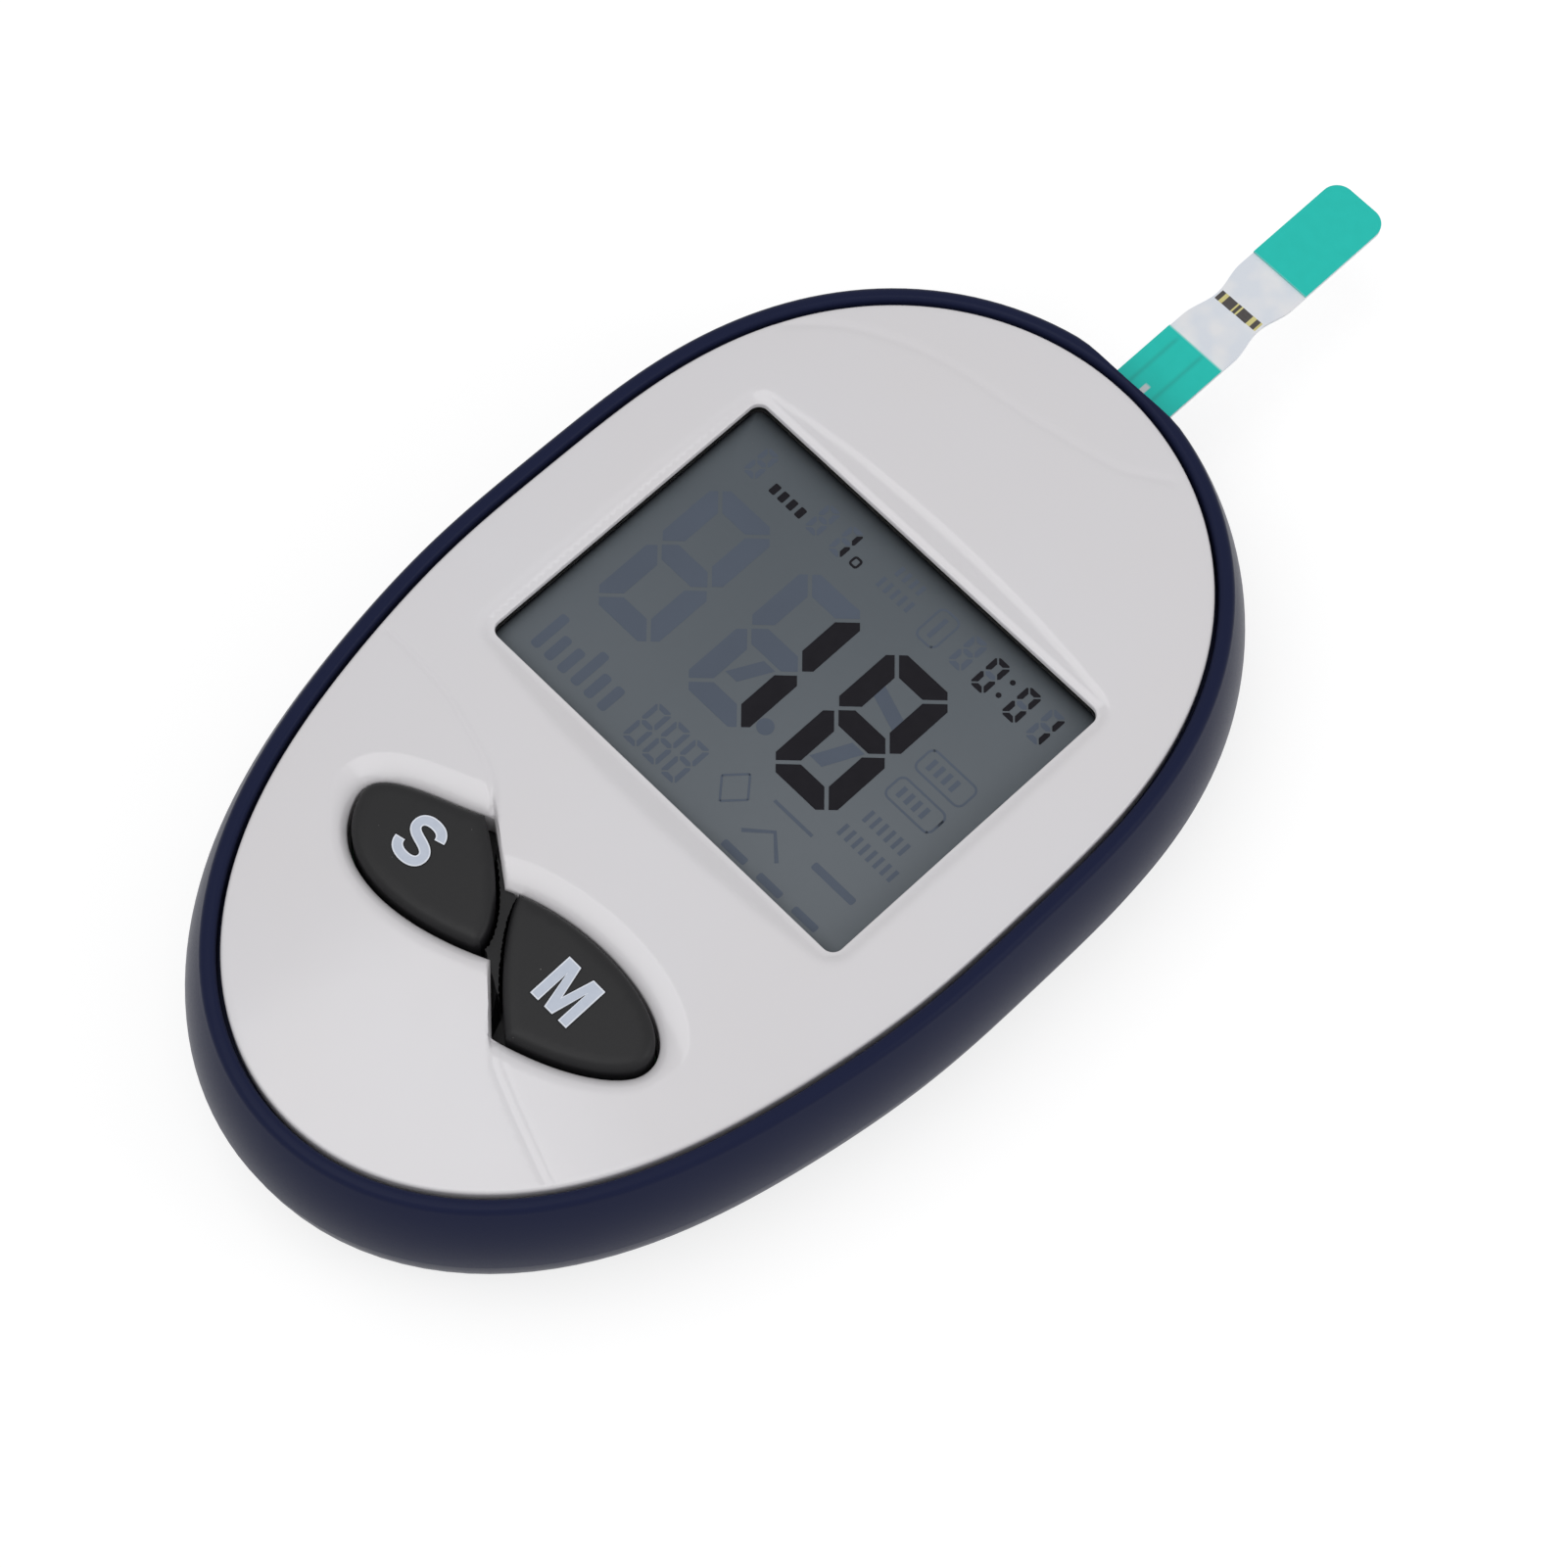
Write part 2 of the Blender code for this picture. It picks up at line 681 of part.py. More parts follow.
def rear_case(navy):
    outer = case_profile()
    rim = outer[-1][1]
    inner_top = WALL_BULGE - COVER_EDGE_ROUND - HOUSING_WALL - PIECE_GAP - TONGUE_THICKNESS
    profile = list(outer)
    profile.append((inner_top + TONGUE_THICKNESS, rim))
    profile.append((inner_top + TONGUE_THICKNESS, rim + TONGUE_HEIGHT))
    profile.append((inner_top, rim + TONGUE_HEIGHT))
    for i in range(CURVE_STEPS):
        turn = math.pi / 2 * (CURVE_STEPS - i) / CURVE_STEPS
        offset = -BASE_INSET + (inner_top + BASE_INSET) * math.sin(turn)
        profile.append((offset, CASE_FLOOR + (rim - CASE_FLOOR) * (1 - math.cos(turn))))
    profile.append((-BASE_INSET, CASE_FLOOR))
    case = place(swept(profile), "rear_case", navy)

    bay_middle = (BAY_LOWER_Y + BAY_UPPER_Y) / 2
    wall = BAY_WALL * 2
    bay = block(
        "bay_walls",
        None,
        (0.0, bay_middle, (SLOT_ROOF + CELL_TOP) / 2),
        (BAY_HALF_WIDTH * 2 + wall, BAY_LENGTH + wall, CELL_TOP - SLOT_ROOF),
    )
    unite(case, bay)
    tube_radius = SCREW_HEAD / 2 + PIECE_GAP + BOSS_WALL
    for i, spot in enumerate(screw_spots()):
        unite(case, drum(f"tube_{i}", None, spot, tube_radius, CASE_FLOOR, PARTING_HEIGHT))

    opening = (BAY_HALF_WIDTH * 2, BAY_LENGTH, CELL_TOP * 3)
    cut(case, block("bay_opening", None, (0.0, bay_middle, CELL_TOP), opening))
    half = door_half_width() + PIECE_GAP
    far_end = plan_point(math.pi, WALL_BULGE).y - OVERRUN
    slot_end = BAY_UPPER_Y + DOOR_MARGIN + PIECE_GAP
    cut(case, span("door_slot", None, (-half, far_end, -OVERRUN), (half, slot_end, SLOT_ROOF)))
    half += DOOR_TONGUE
    groove_low = SLOT_ROOF - DOOR_TONGUE_THICKNESS - PIECE_GAP * 2
    cut(case, span("door_groove", None, (-half, far_end, groove_low), (half, slot_end, SLOT_ROOF)))
    for i, spot in enumerate(screw_spots()):
        cut(case, drum(f"head_well_{i}", None, spot, SCREW_HEAD / 2 + PIECE_GAP, -OVERRUN, SCREW_SEAT))
        top = PARTING_HEIGHT + OVERRUN
        cut(case, drum(f"shank_hole_{i}", None, spot, SCREW_SHANK / 2 + PIECE_GAP, 0.0, top, 12))
    return case


def battery_door(navy):
    """A plate cut from the same body as the case, so that its end follows the case's curve."""
    half = door_half_width()
    far_end = plan_point(math.pi, WALL_BULGE).y - OVERRUN
    near_end = BAY_UPPER_Y + DOOR_MARGIN
    top = DOOR_RECESS + DOOR_THICKNESS
    centre = (0.0, (far_end + near_end) / 2, (DOOR_RECESS + top) / 2)
    size = (half * 2, near_end - far_end, DOOR_THICKNESS)
    door = block("battery_door", navy, centre, size, origin=(0.0, near_end, DOOR_RECESS))
    tongue_low = top - DOOR_TONGUE_THICKNESS
    wide = half + DOOR_TONGUE
    corner = (wide, near_end - DOOR_TONGUE, top)
    unite(door, span("door_tongues", None, (-wide, far_end, tongue_low), corner))
    body = place(swept(case_profile(DOOR_RECESS)), "door_outline", None)
    join(door, body, "INTERSECT")
    for i in range(GRIP_RIDGES):
        y = near_end - DOOR_MARGIN * 2 - GRIP_PITCH * i
        low = (-GRIP_LENGTH / 2, y - GRIP_WIDTH / 2, -OVERRUN)
        high = (GRIP_LENGTH / 2, y + GRIP_WIDTH / 2, DOOR_RECESS + GRIP_DEPTH)
        cut(door, span(f"grip_{i}", None, low, high))
    return door


# Display


def display_pieces(clear, grey, black, carbon):
    lens = skin(window_loop(LENS_MARGIN), LENS_TOP - LENS_THICKNESS, LENS_TOP)
    place(lens, "display_window", clear)
    gasket_hole = [window_loop(THIN_GAP * 2)]
    gasket = skin(window_loop(LENS_MARGIN), GASKET_TOP - GASKET_THICKNESS, GASKET_TOP, gasket_hole)
    place(gasket, "display_gasket", black)
    width, length = WINDOW_WIDTH + GLASS_MARGIN * 2, WINDOW_LENGTH + GLASS_MARGIN * 2
    middle = (0.0, WINDOW_CENTRE_Y)
    glass = skin(plain_box(middle, width, length), GLASS_UNDER, GLASS_TOP)
    place(glass, "lcd_panel", grey, smooth=False)
    gap = PIECE_GAP * 2
    hole = plain_box(middle, width + gap, length + gap)
    walls = gap + FRAME_WALL * 2
    rim = rounded_box(middle, width + walls, length + walls, FRAME_WALL)
    frame_top = GLASS_TOP - THIN_GAP
    place(skin(rim, BOARD_TOP + THIN_GAP, frame_top, [hole]), "lcd_frame", black)
    low, high = BOARD_TOP + THIN_GAP, GLASS_UNDER - THIN_GAP
    for name, side in (("upper", 1), ("lower", -1)):
        y = WINDOW_CENTRE_Y + side * (length / 2 - CONTACT_RUBBER_WIDTH)
        size = (width - CONTACT_RUBBER_WIDTH * 2, CONTACT_RUBBER_WIDTH, high - low)
        block(f"elastomer_connector_{name}", carbon, (0.0, y, (low + high) / 2), size)


# Keypad


def petal(name, side, rubber):
    outline = offset_loop(petal_loop(side), -PETAL_GAP)
    rings = [offset_loop(outline, -PETAL_ROUND * share) for share in (0.12, 0.45, 1.0)]

    def top(point):
        depth = min(1.0, loop_distance(point, outline) / PETAL_ROUND)
        drop = PETAL_ROUND * (1 - math.sqrt(1 - (1 - depth) ** 2))
        return dome_height(point) + PETAL_PROUD - drop

    middle = sum(outline, Vector((0.0, 0.0))) / len(outline)
    centre = (middle.x, middle.y, PETAL_UNDER)
    button = place(skin(outline, PETAL_UNDER, top, guides=rings), name, rubber, centre)
    low, high = PETAL_UNDER - PLUNGER_LENGTH, PETAL_UNDER + PLUNGER_LENGTH
    unite(button, drum(f"{name}_plunger", None, middle, PLUNGER_RADIUS, low, high))
    return middle


def keypad_mat(rubber):
    outline = offset_loop(OPENING, MAT_MARGIN)
    wells = [offset_loop(petal_loop(side), -PETAL_GAP + PIECE_GAP) for side in (1, -1)]
    mat = place(skin(outline, MAT_UNDER, MAT_TOP, wells), "keypad_mat", rubber)
    web = []
    for side in (1, -1):
        shares = (TOP_CORNER_SHARES, *CUT_EDGE_SHARES, WAIST_CORNER_SHARES)
        for point in pad_curve(shares, side, 8)[4:]:
            line = pad_point(WAIST_CORNER_SHARES, side) - pad_point(TOP_CORNER_SHARES, side)
            outward = Vector((-line.y, line.x)).normalized()
            web.append(point + outward * (WEB_GAP - PETAL_GAP))
    top = dome_height(pad_point((0.0, 0.0))) - WEB_DROP
    unite(mat, place(skin(web, MAT_UNDER + MAT_THICKNESS / 2, top), "keypad_web", None))


def switch_dome(name, spot, steel):
    """A thin sprung disc, open underneath."""
    low = BOARD_TOP + THIN_GAP
    shoulder = (DOME_RADIUS * 0.75, DOME_HEIGHT * 0.7)
    outer = [(DOME_RADIUS, 0.0), shoulder, (DOME_RADIUS * 0.3, DOME_HEIGHT)]
    inner = [(radius - DOME_SHEET, z - DOME_SHEET) for radius, z in outer[1:]]
    profile = [*reversed(inner), (DOME_RADIUS - DOME_SHEET * 2, 0.0), *outer]
    bm = turned(profile)
    bmesh.ops.translate(bm, verts=bm.verts[:], vec=(spot.x, spot.y, low))
    place(bm, name, steel)


# Board and what it carries


def main_board(green):
    socket_back = socket_span()[0]
    board = place(skin(plan_ring(-BOARD_INSET), BOARD_UNDER, BOARD_TOP), "main_board", green)
    half = SOCKET_WIDTH / 2 + PIECE_GAP
    low = (-half, socket_back - PIECE_GAP, 0.0)
    cut(board, span("socket_notch", None, low, (half, plan_point(0.0).y + OVERRUN, RIM_HEIGHT)))
    radius = SCREW_SHANK / 2 + PIECE_GAP + BOSS_WALL + PIECE_GAP
    for i, spot in enumerate(screw_spots()):
        cut(board, drum(f"boss_notch_{i}", None, spot, radius, 0.0, RIM_HEIGHT))


def socket_span():
    """Where the strip connector starts and ends along the meter."""
    front = plan_point(0.0, WALL_BULGE - HOUSING_WALL).y - SOCKET_SETBACK
    return front - SOCKET_LENGTH, front


def strip_connector(black, gold):
    back, front = socket_span()
    middle = (back + front) / 2
    low, high = STRIP_HEIGHT - SOCKET_FLOOR, STRIP_TOP + SOCKET_ROOF
    size = (SOCKET_WIDTH, SOCKET_LENGTH, high - low)
    socket = block("strip_connector", black, (0.0, middle, (low + high) / 2), size)
    half = STRIP_WIDTH / 2 + PIECE_GAP
    slot_low = (-half, STRIP_INNER_Y - PIECE_GAP, STRIP_HEIGHT - PIECE_GAP)
    cut(socket, span("socket_slot", None, slot_low, (half, front + OVERRUN, STRIP_TOP + PIECE_GAP)))
    well = CONTACT_PITCH * (STRIP_CONTACTS - 1) / 2 + CONTACT_WIDTH / 2 + PIECE_GAP
    well_floor = low + SOCKET_ROOF / 2
    well_end = front - SOCKET_ROOF
    well_low = (-well, STRIP_INNER_Y, well_floor)
    cut(socket, span("contact_well", None, well_low, (well, well_end, STRIP_HEIGHT)))
    start, end = STRIP_INNER_Y + PIECE_GAP, well_end - PIECE_GAP
    floor = well_floor + PIECE_GAP
    crest = STRIP_HEIGHT - THIN_GAP - CONTACT_SHEET
    length = end - start
    line = [
        (start, floor),
        (start + length * 0.35, floor),
        (start + length * 0.7, crest),
        (end, crest - CONTACT_HUMP),
    ]
    for i in range(STRIP_CONTACTS):
        x = (i - (STRIP_CONTACTS - 1) / 2) * CONTACT_PITCH
        left, right = x - CONTACT_WIDTH / 2, x + CONTACT_WIDTH / 2
        rings = []
        for y, z in line:
            top = z + CONTACT_SHEET
            rings.append([(left, y, z), (right, y, z), (right, y, top), (left, y, top)])
        place(ring_mesh(rings, False), f"strip_contact_{i + 1}", gold, smooth=False)


def board_parts(black, steel):
    top = BOARD_UNDER - THIN_GAP
    side = CONTROLLER_SIDE
    z = top - CONTROLLER_HEIGHT / 2
    block("controller_chip", black, (0.0, CHIP_ROW_Y, z), (side, side, CONTROLLER_HEIGHT))
    size = (MEMORY_WIDTH, MEMORY_LENGTH, CONTROLLER_HEIGHT)
    block("memory_chip", black, (MEMORY_X, CHIP_ROW_Y, z), size)
    can = turned([(CRYSTAL_RADIUS, -CRYSTAL_LENGTH / 2), (CRYSTAL_RADIUS, CRYSTAL_LENGTH / 2)], 10)
    turn_to_y(can)
    bmesh.ops.translate(can, verts=can.verts[:], vec=(CRYSTAL_X, CHIP_ROW_Y, top - CRYSTAL_RADIUS))
    place(can, "quartz_crystal", steel)
    drum("buzzer", black, (BUZZER_X, BUZZER_Y), BUZZER_RADIUS, top - BUZZER_HEIGHT, top)


def turn_to_y(bm):
    """Lays a solid of revolution along Y: what was up points to the strip's end."""
    for vert in bm.verts:
        x, y, z = vert.co
        vert.co = (x, z, -y)


# Battery cells and their contacts


def cell(name, x, tip_side, skin_finish):
    """A cylindrical cell with its nub towards the strip's end (1) or away from it (-1)."""
    body = CELL_LENGTH - CELL_NUB_LENGTH
    radius = CELL_DIAMETER / 2
    edge = CELL_NUB_LENGTH / 2
    profile = [
        (radius - edge, 0.0),
        (radius, edge),
        (radius, body - edge),
        (radius - edge, body),
        (CELL_NUB_RADIUS, body),
        (CELL_NUB_RADIUS, CELL_LENGTH),
    ]
    bm = turned(profile)
    turn_to_y(bm)
    if tip_side < 0:
        bmesh.ops.rotate(bm, verts=bm.verts[:], matrix=Matrix.Rotation(math.pi, 3, "Z"))
    end = PIECE_GAP * 2 + CONTACT_PLATE
    y = BAY_UPPER_Y - end - CELL_LENGTH if tip_side > 0 else BAY_LOWER_Y + end + CELL_LENGTH
    bmesh.ops.translate(bm, verts=bm.verts[:], vec=(x, y, CELL_AXIS))
    place(bm, name, skin_finish)


def spring(name, x, start, end, steel):
    """A conical coil, wide at its plate and narrow at the cell."""
    turns, per_turn, sides = SPRING_TURNS, 10, 6
    count = turns * per_turn
    wire = SPRING_WIRE / 2
    direction = 1 if end > start else -1
    travel = abs(end - start) - SPRING_WIRE
    rings = []
    for i in range(count + 1):
        share = i / count
        turn = math.tau * turns * share
        radius = (SPRING_WIDE + (SPRING_NARROW - SPRING_WIDE) * share) / 2 - wire
        y = start + direction * (wire + travel * share)
        out = Vector((math.cos(turn), 0.0, math.sin(turn)))
        centre = Vector((x, y, CELL_AXIS)) + out * radius
        ring = []
        for k in range(sides):
            angle = math.tau * k / sides
            along = Vector((0.0, wire * math.sin(angle), 0.0))
            ring.append(centre + out * wire * math.cos(angle) + along)
        rings.append(ring)
    place(ring_mesh(rings, False), name, steel)


def battery_bay(foil, steel):
    half_pitch = BAY_HALF_WIDTH / 2
    cell("battery_1", -half_pitch, 1, foil)
    cell("battery_2", half_pitch, -1, foil)
    plate_half = half_pitch - PIECE_GAP * 2
    low = CELL_AXIS - CONTACT_PLATE_HEIGHT / 2
    high = CELL_AXIS + CONTACT_PLATE_HEIGHT / 2
    upper = BAY_UPPER_Y - PIECE_GAP
    lower = BAY_LOWER_Y + PIECE_GAP
    for name, x in (("positive", -half_pitch), ("negative", half_pitch)):
        corner = (x - plate_half, upper - CONTACT_PLATE, low)
        span(f"battery_contact_{name}", steel, corner, (x + plate_half, upper, high))
    wide = half_pitch + plate_half
    span("battery_contact_link", steel, (-wide, lower, low), (wide, lower + CONTACT_PLATE, high))
    end = PIECE_GAP * 2 + CONTACT_PLATE
    seat = CONTACT_PLATE + PIECE_GAP
    cell_back = BAY_UPPER_Y - end - CELL_LENGTH
    spring("battery_spring_1", -half_pitch, lower + seat, cell_back - PIECE_GAP, steel)
    cell_back = BAY_LOWER_Y + end + CELL_LENGTH
    spring("battery_spring_2", half_pitch, upper - seat, cell_back + PIECE_GAP, steel)


# Screws


def screws(steel):
    head_low = SCREW_SEAT - PIECE_GAP - SCREW_HEAD_HEIGHT
    edge = SCREW_HEAD_HEIGHT / 3
    for i, spot in enumerate(screw_spots()):
        profile = [
            (SCREW_HEAD / 2 - edge, 0.0),
            (SCREW_HEAD / 2, edge),
            (SCREW_HEAD / 2, SCREW_HEAD_HEIGHT),
            (SCREW_SHANK / 2, SCREW_HEAD_HEIGHT),
            (SCREW_SHANK / 2, SCREW_HEAD_HEIGHT + SCREW_LENGTH - SCREW_SHANK),
            (SCREW_SHANK / 6, SCREW_HEAD_HEIGHT + SCREW_LENGTH),
        ]
        bm = turned(profile, 12)
        bmesh.ops.translate(bm, verts=bm.verts[:], vec=(spot.x, spot.y, head_low))
        screw = place(bm, f"case_screw_{i + 1}", steel)
        long, short = SCREW_HEAD * 0.6, SCREW_SLOT_WIDTH
        for k, (width, length) in enumerate(((long, short), (short, long))):
            centre = (spot.x, spot.y, head_low)
            size = (width, length, SCREW_SLOT_DEPTH * 2)
            cut(screw, block(f"drive_{i}_{k}", None, centre, size))


# Test strip


def strip_half_width(y):
    """Half the strip's width: it narrows to a waist in the middle of its bare stretch."""
    middle = STRIP_TIP_Y - STRIP_HANDLE - STRIP_BARE / 2
    share = min(1.0, abs(y - middle) / (STRIP_BARE / 2))
    waist = (STRIP_WIDTH - STRIP_WAIST) / 2 * math.cos(math.pi / 2 * share) ** 2
    return STRIP_WIDTH / 2 - waist


def strip_loop(start, end, rounded):
    """Outline of the strip between two places along it."""
    last = end - (STRIP_TIP_CORNER if rounded else 0.0)
    right = []
    steps = max(1, math.ceil((last - start) / (STRIP_BARE / 8)))
    for i in range(steps + 1):
        y = start + (last - start) * i / steps
        right.append(Vector((strip_half_width(y), y)))
    if rounded:
        half = STRIP_WIDTH / 2
        right += arc((half - STRIP_TIP_CORNER, last), STRIP_TIP_CORNER, 0, 90, 4)[1:]
    left = [Vector((-p.x, p.y)) for p in reversed(right)]
    return right + left


def test_strip(white, teal):
    carrier = bpy.data.objects.new("strip_slide", None)
    carrier.location = (0.0, STRIP_INNER_Y, STRIP_HEIGHT)
    bpy.context.scene.collection.objects.link(carrier)
    base = (STRIP_HEIGHT, STRIP_HEIGHT + STRIP_BASE)
    film = (base[1] + THIN_GAP, base[1] + THIN_GAP + STRIP_FILM)
    bare_end = STRIP_TIP_Y - STRIP_HANDLE
    bare_start = bare_end - STRIP_BARE
    film_start = STRIP_INNER_Y + STRIP_TIP_CORNER
    pieces = (
        ("strip_base", white, STRIP_INNER_Y, STRIP_TIP_Y, True, base),
        ("strip_lower_film", teal, film_start, bare_start, False, film),
        ("strip_handle_film", teal, bare_end, STRIP_TIP_Y, True, film),
    )
    for name, material, start, end, rounded, (low, high) in pieces:
        solid = skin(strip_loop(start, end, rounded), low, high)
        piece = place(solid, name, material, carrier.location)
        piece.parent = carrier
        piece.location = (0.0, 0.0, 0.0)


def build():
    white = finish("gloss_white_plastic", (0.68, 0.67, 0.68), 0.22)
    navy = finish("navy_plastic", (0.021, 0.027, 0.065), 0.38)
    rubber = finish("black_rubber", (0.022, 0.022, 0.024), 0.62)
    clear = finish("clear_acrylic", (0.80, 0.84, 0.86), 0.06)
    grey = finish("lcd_glass", (0.107, 0.127, 0.133), 0.16)
    black = finish("black_plastic", (0.012, 0.012, 0.013), 0.55)
    carbon = finish("carbon_rubber", (0.10, 0.10, 0.11), 0.75)
    green = finish("board_green", (0.015, 0.105, 0.045), 0.42)
    steel = finish("nickel_steel", (0.62, 0.61, 0.58), 0.28, 1.0)
    gold = finish("gold_contact", (0.72, 0.50, 0.16), 0.25, 1.0)
    foil = finish("battery_foil", (0.30, 0.31, 0.33), 0.30, 0.6)
    film_white = finish("strip_white", (0.67, 0.67, 0.73), 0.40)
    film_teal = finish("strip_teal", (0.030, 0.491, 0.421), 0.35)

    front_cover(white)
    upper_housing(navy)
    rear_case(navy)
    battery_door(navy)
    display_pieces(clear, grey, black, carbon)
    keypad_mat(rubber)
    for name, side in (("set", 1), ("memory", -1)):
        spot = petal(f"{name}_button", side, rubber)
        switch_dome(f"{name}_switch_dome", spot, steel)
    main_board(green)
    strip_connector(black, gold)
    board_parts(black, steel)
    battery_bay(foil, steel)
    screws(steel)
    test_strip(film_white, film_teal)

    meter = bpy.data.objects.new("meter", None)
    meter.location = (0.0, -REST_CENTRE_Y, 0.0)
    for obj in bpy.context.scene.objects:
        if obj.parent is None:
            obj.parent = meter
    bpy.context.scene.collection.objects.link(meter)


for leftover in list(bpy.data.objects):
    bpy.data.objects.remove(leftover, do_unlink=True)
build()
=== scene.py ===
import math

import bmesh
import bpy
import numpy as np
from mathutils import Matrix, Vector
from mathutils.geometry import delaunay_2d_cdt


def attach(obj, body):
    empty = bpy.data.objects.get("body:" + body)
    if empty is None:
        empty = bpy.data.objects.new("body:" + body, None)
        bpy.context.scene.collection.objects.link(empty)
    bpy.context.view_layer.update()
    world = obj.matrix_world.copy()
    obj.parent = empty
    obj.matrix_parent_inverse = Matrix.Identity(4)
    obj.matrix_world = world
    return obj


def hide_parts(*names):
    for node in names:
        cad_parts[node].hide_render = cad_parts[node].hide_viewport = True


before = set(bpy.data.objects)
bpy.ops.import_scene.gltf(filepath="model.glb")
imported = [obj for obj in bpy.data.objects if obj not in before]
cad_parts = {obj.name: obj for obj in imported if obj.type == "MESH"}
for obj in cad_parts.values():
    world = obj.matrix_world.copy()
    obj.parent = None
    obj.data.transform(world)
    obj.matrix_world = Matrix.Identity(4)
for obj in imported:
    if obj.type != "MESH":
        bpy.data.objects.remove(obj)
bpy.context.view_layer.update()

# Camera, light and table.
# The meter lies on a white table under a broad soft light, and is seen from above its lower right
# side. Every colour in the file is written as it looks in that light.

scene = bpy.context.scene
scene.view_settings.view_transform = "Standard"

camera = bpy.data.objects.new("camera", bpy.data.cameras.new("camera"))
camera.location = (0.114518, -0.149407, 0.388363)
camera.rotation_euler = [math.radians(a) for a in (23.8566, -1.9428, 45.5858)]
camera.data.sensor_width = 36.0
camera.data.lens = 116.447
camera.data.clip_start = 0.01
scene.collection.objects.link(camera)
scene.camera = camera


class Wire:
    """A socket in a node tree. Sums, differences, products and quotients of wires add Math nodes."""

    def __init__(self, socket):
        self.socket = socket

    def node(self, kind, settings=None, inputs=None, output=0):
        """Adds a node to this wire's tree: first its settings, then the values or wires of its sockets."""
        tree = self.socket.id_data
        made = tree.nodes.new(kind)
        for name, value in (settings or {}).items():
            setattr(made, name, value)
        for name, value in (inputs or {}).items():
            if isinstance(value, Wire):
                tree.links.new(value.socket, made.inputs[name])
            else:
                made.inputs[name].default_value = value
        return Wire(made.outputs[output])

    def math(self, operation, *others):
        return self.node("ShaderNodeMath", {"operation": operation}, dict(enumerate((self, *others))))

    def clamped(self):
        return self.math("MAXIMUM", 0.0).math("MINIMUM", 1.0)

    def __add__(self, other):
        return self.math("ADD", other)

    def __sub__(self, other):
        return self.math("SUBTRACT", other)

    def __mul__(self, other):
        return self.math("MULTIPLY", other)

    def __truediv__(self, other):
        return self.math("DIVIDE", other)

    def __rsub__(self, other):
        return self.math("MULTIPLY", -1.0) + other

    __radd__ = __add__
    __rmul__ = __mul__


def paint(mask, under, over):
    """One colour over another where the mask is 1."""
    return mask.node("ShaderNodeMix", {"data_type": "RGBA"}, {0: mask, 6: under, 7: over}, 2)


def rgb(red, green, blue):
    """A colour as a screen shows it, 0 to 255, in the renderer's own linear values."""
    shares = [c / 255 for c in (red, green, blue)]
    return (*((c / 12.92 if c < 0.04045 else ((c + 0.055) / 1.055) ** 2.4) for c in shares), 1.0)


def looked_at(tree):
    """1 for what is seen directly, in a reflection or through glass, 0 for what only gives light."""
    rays = tree.nodes.new("ShaderNodeLightPath").outputs
    seen = Wire(rays["Is Camera Ray"]) + Wire(rays["Is Glossy Ray"]) + Wire(rays["Is Transmission Ray"])
    return seen.math("MINIMUM", 1.0)


world = bpy.data.worlds.new("studio")
world.use_nodes = True
scene.world = world
sky = world.node_tree.nodes["Background"]
sky.inputs["Color"].default_value = (1.0, 1.0, 1.0, 1.0)
world.node_tree.links.new((looked_at(world.node_tree) * 0.48 + 0.52).socket, sky.inputs["Strength"])

for name, spot, size, power in (
    ("top_light", (-0.05, -0.30, 0.85), 0.75, 3.1),
    ("side_light", (0.70, 0.30, 0.45), 0.40, 1.2),
):
    lamp = bpy.data.objects.new(name, bpy.data.lights.new(name, "AREA"))
    lamp.data.shape = "SQUARE"
    lamp.data.size = size
    lamp.data.energy = power
    lamp.location = spot
    lamp.rotation_euler = (-Vector(spot)).to_track_quat("-Z", "Y").to_euler()
    scene.collection.objects.link(lamp)

TABLE_REACH, TABLE_GAP = 6.0, 0.00002
table_mesh = bpy.data.meshes.new("table")
corners = [(x * TABLE_REACH, y * TABLE_REACH, 0.0) for x, y in ((-1, -1), (1, -1), (1, 1), (-1, 1))]
table_mesh.from_pydata(corners, [], [(0, 1, 2, 3)])
table = bpy.data.objects.new("table", table_mesh)
table.location = (0.0, 0.0, -TABLE_GAP)
scene.collection.objects.link(table)
paper = bpy.data.materials.new("table_white")
paper.use_nodes = True
paper_tree = paper.node_tree
paper_shader = paper_tree.nodes["Principled BSDF"]
paper_shader.inputs["Base Color"].default_value = (0.93, 0.93, 0.93, 1.0)
paper_shader.inputs["Roughness"].default_value = 0.9
paper_shader.inputs["Specular IOR Level"].default_value = 0.0
facing = Wire(paper_tree.nodes.new("ShaderNodeNewGeometry").outputs["Backfacing"])
clear = facing.node("ShaderNodeBsdfTransparent")
white = facing.node("ShaderNodeEmission", {}, {"Strength": 1.2})
glow = {0: looked_at(paper_tree) * 0.6, 1: Wire(paper_shader.outputs[0]), 2: white}
bright = facing.node("ShaderNodeMixShader", {}, glow)
sides = facing.node("ShaderNodeMixShader", {}, {0: facing, 1: bright, 2: clear})
paper_tree.links.new(sides.socket, paper_tree.nodes["Material Output"].inputs["Surface"])
table_mesh.materials.append(paper)


# Rear case.
# The lower half of the housing, moulded in navy plastic with a fine matt grain. It has the battery
# bay, four screw tubes and the slot that the battery door slides in.

# Egg-shaped plan of the cover's edge, in millimetres, with the angle taken from +Y towards +X: a mean
# radius, and the waves laid over it with their count and size
PLAN_RADIUS = 35.9
PLAN_WAVES = {"Oval": (2, 9.57), "Egg": (3, -0.825), "Square": (4, 1.04), "Taper": (5, -0.457)}
PARTING_HEIGHT, RIM_HEIGHT = 10.0, 18.5
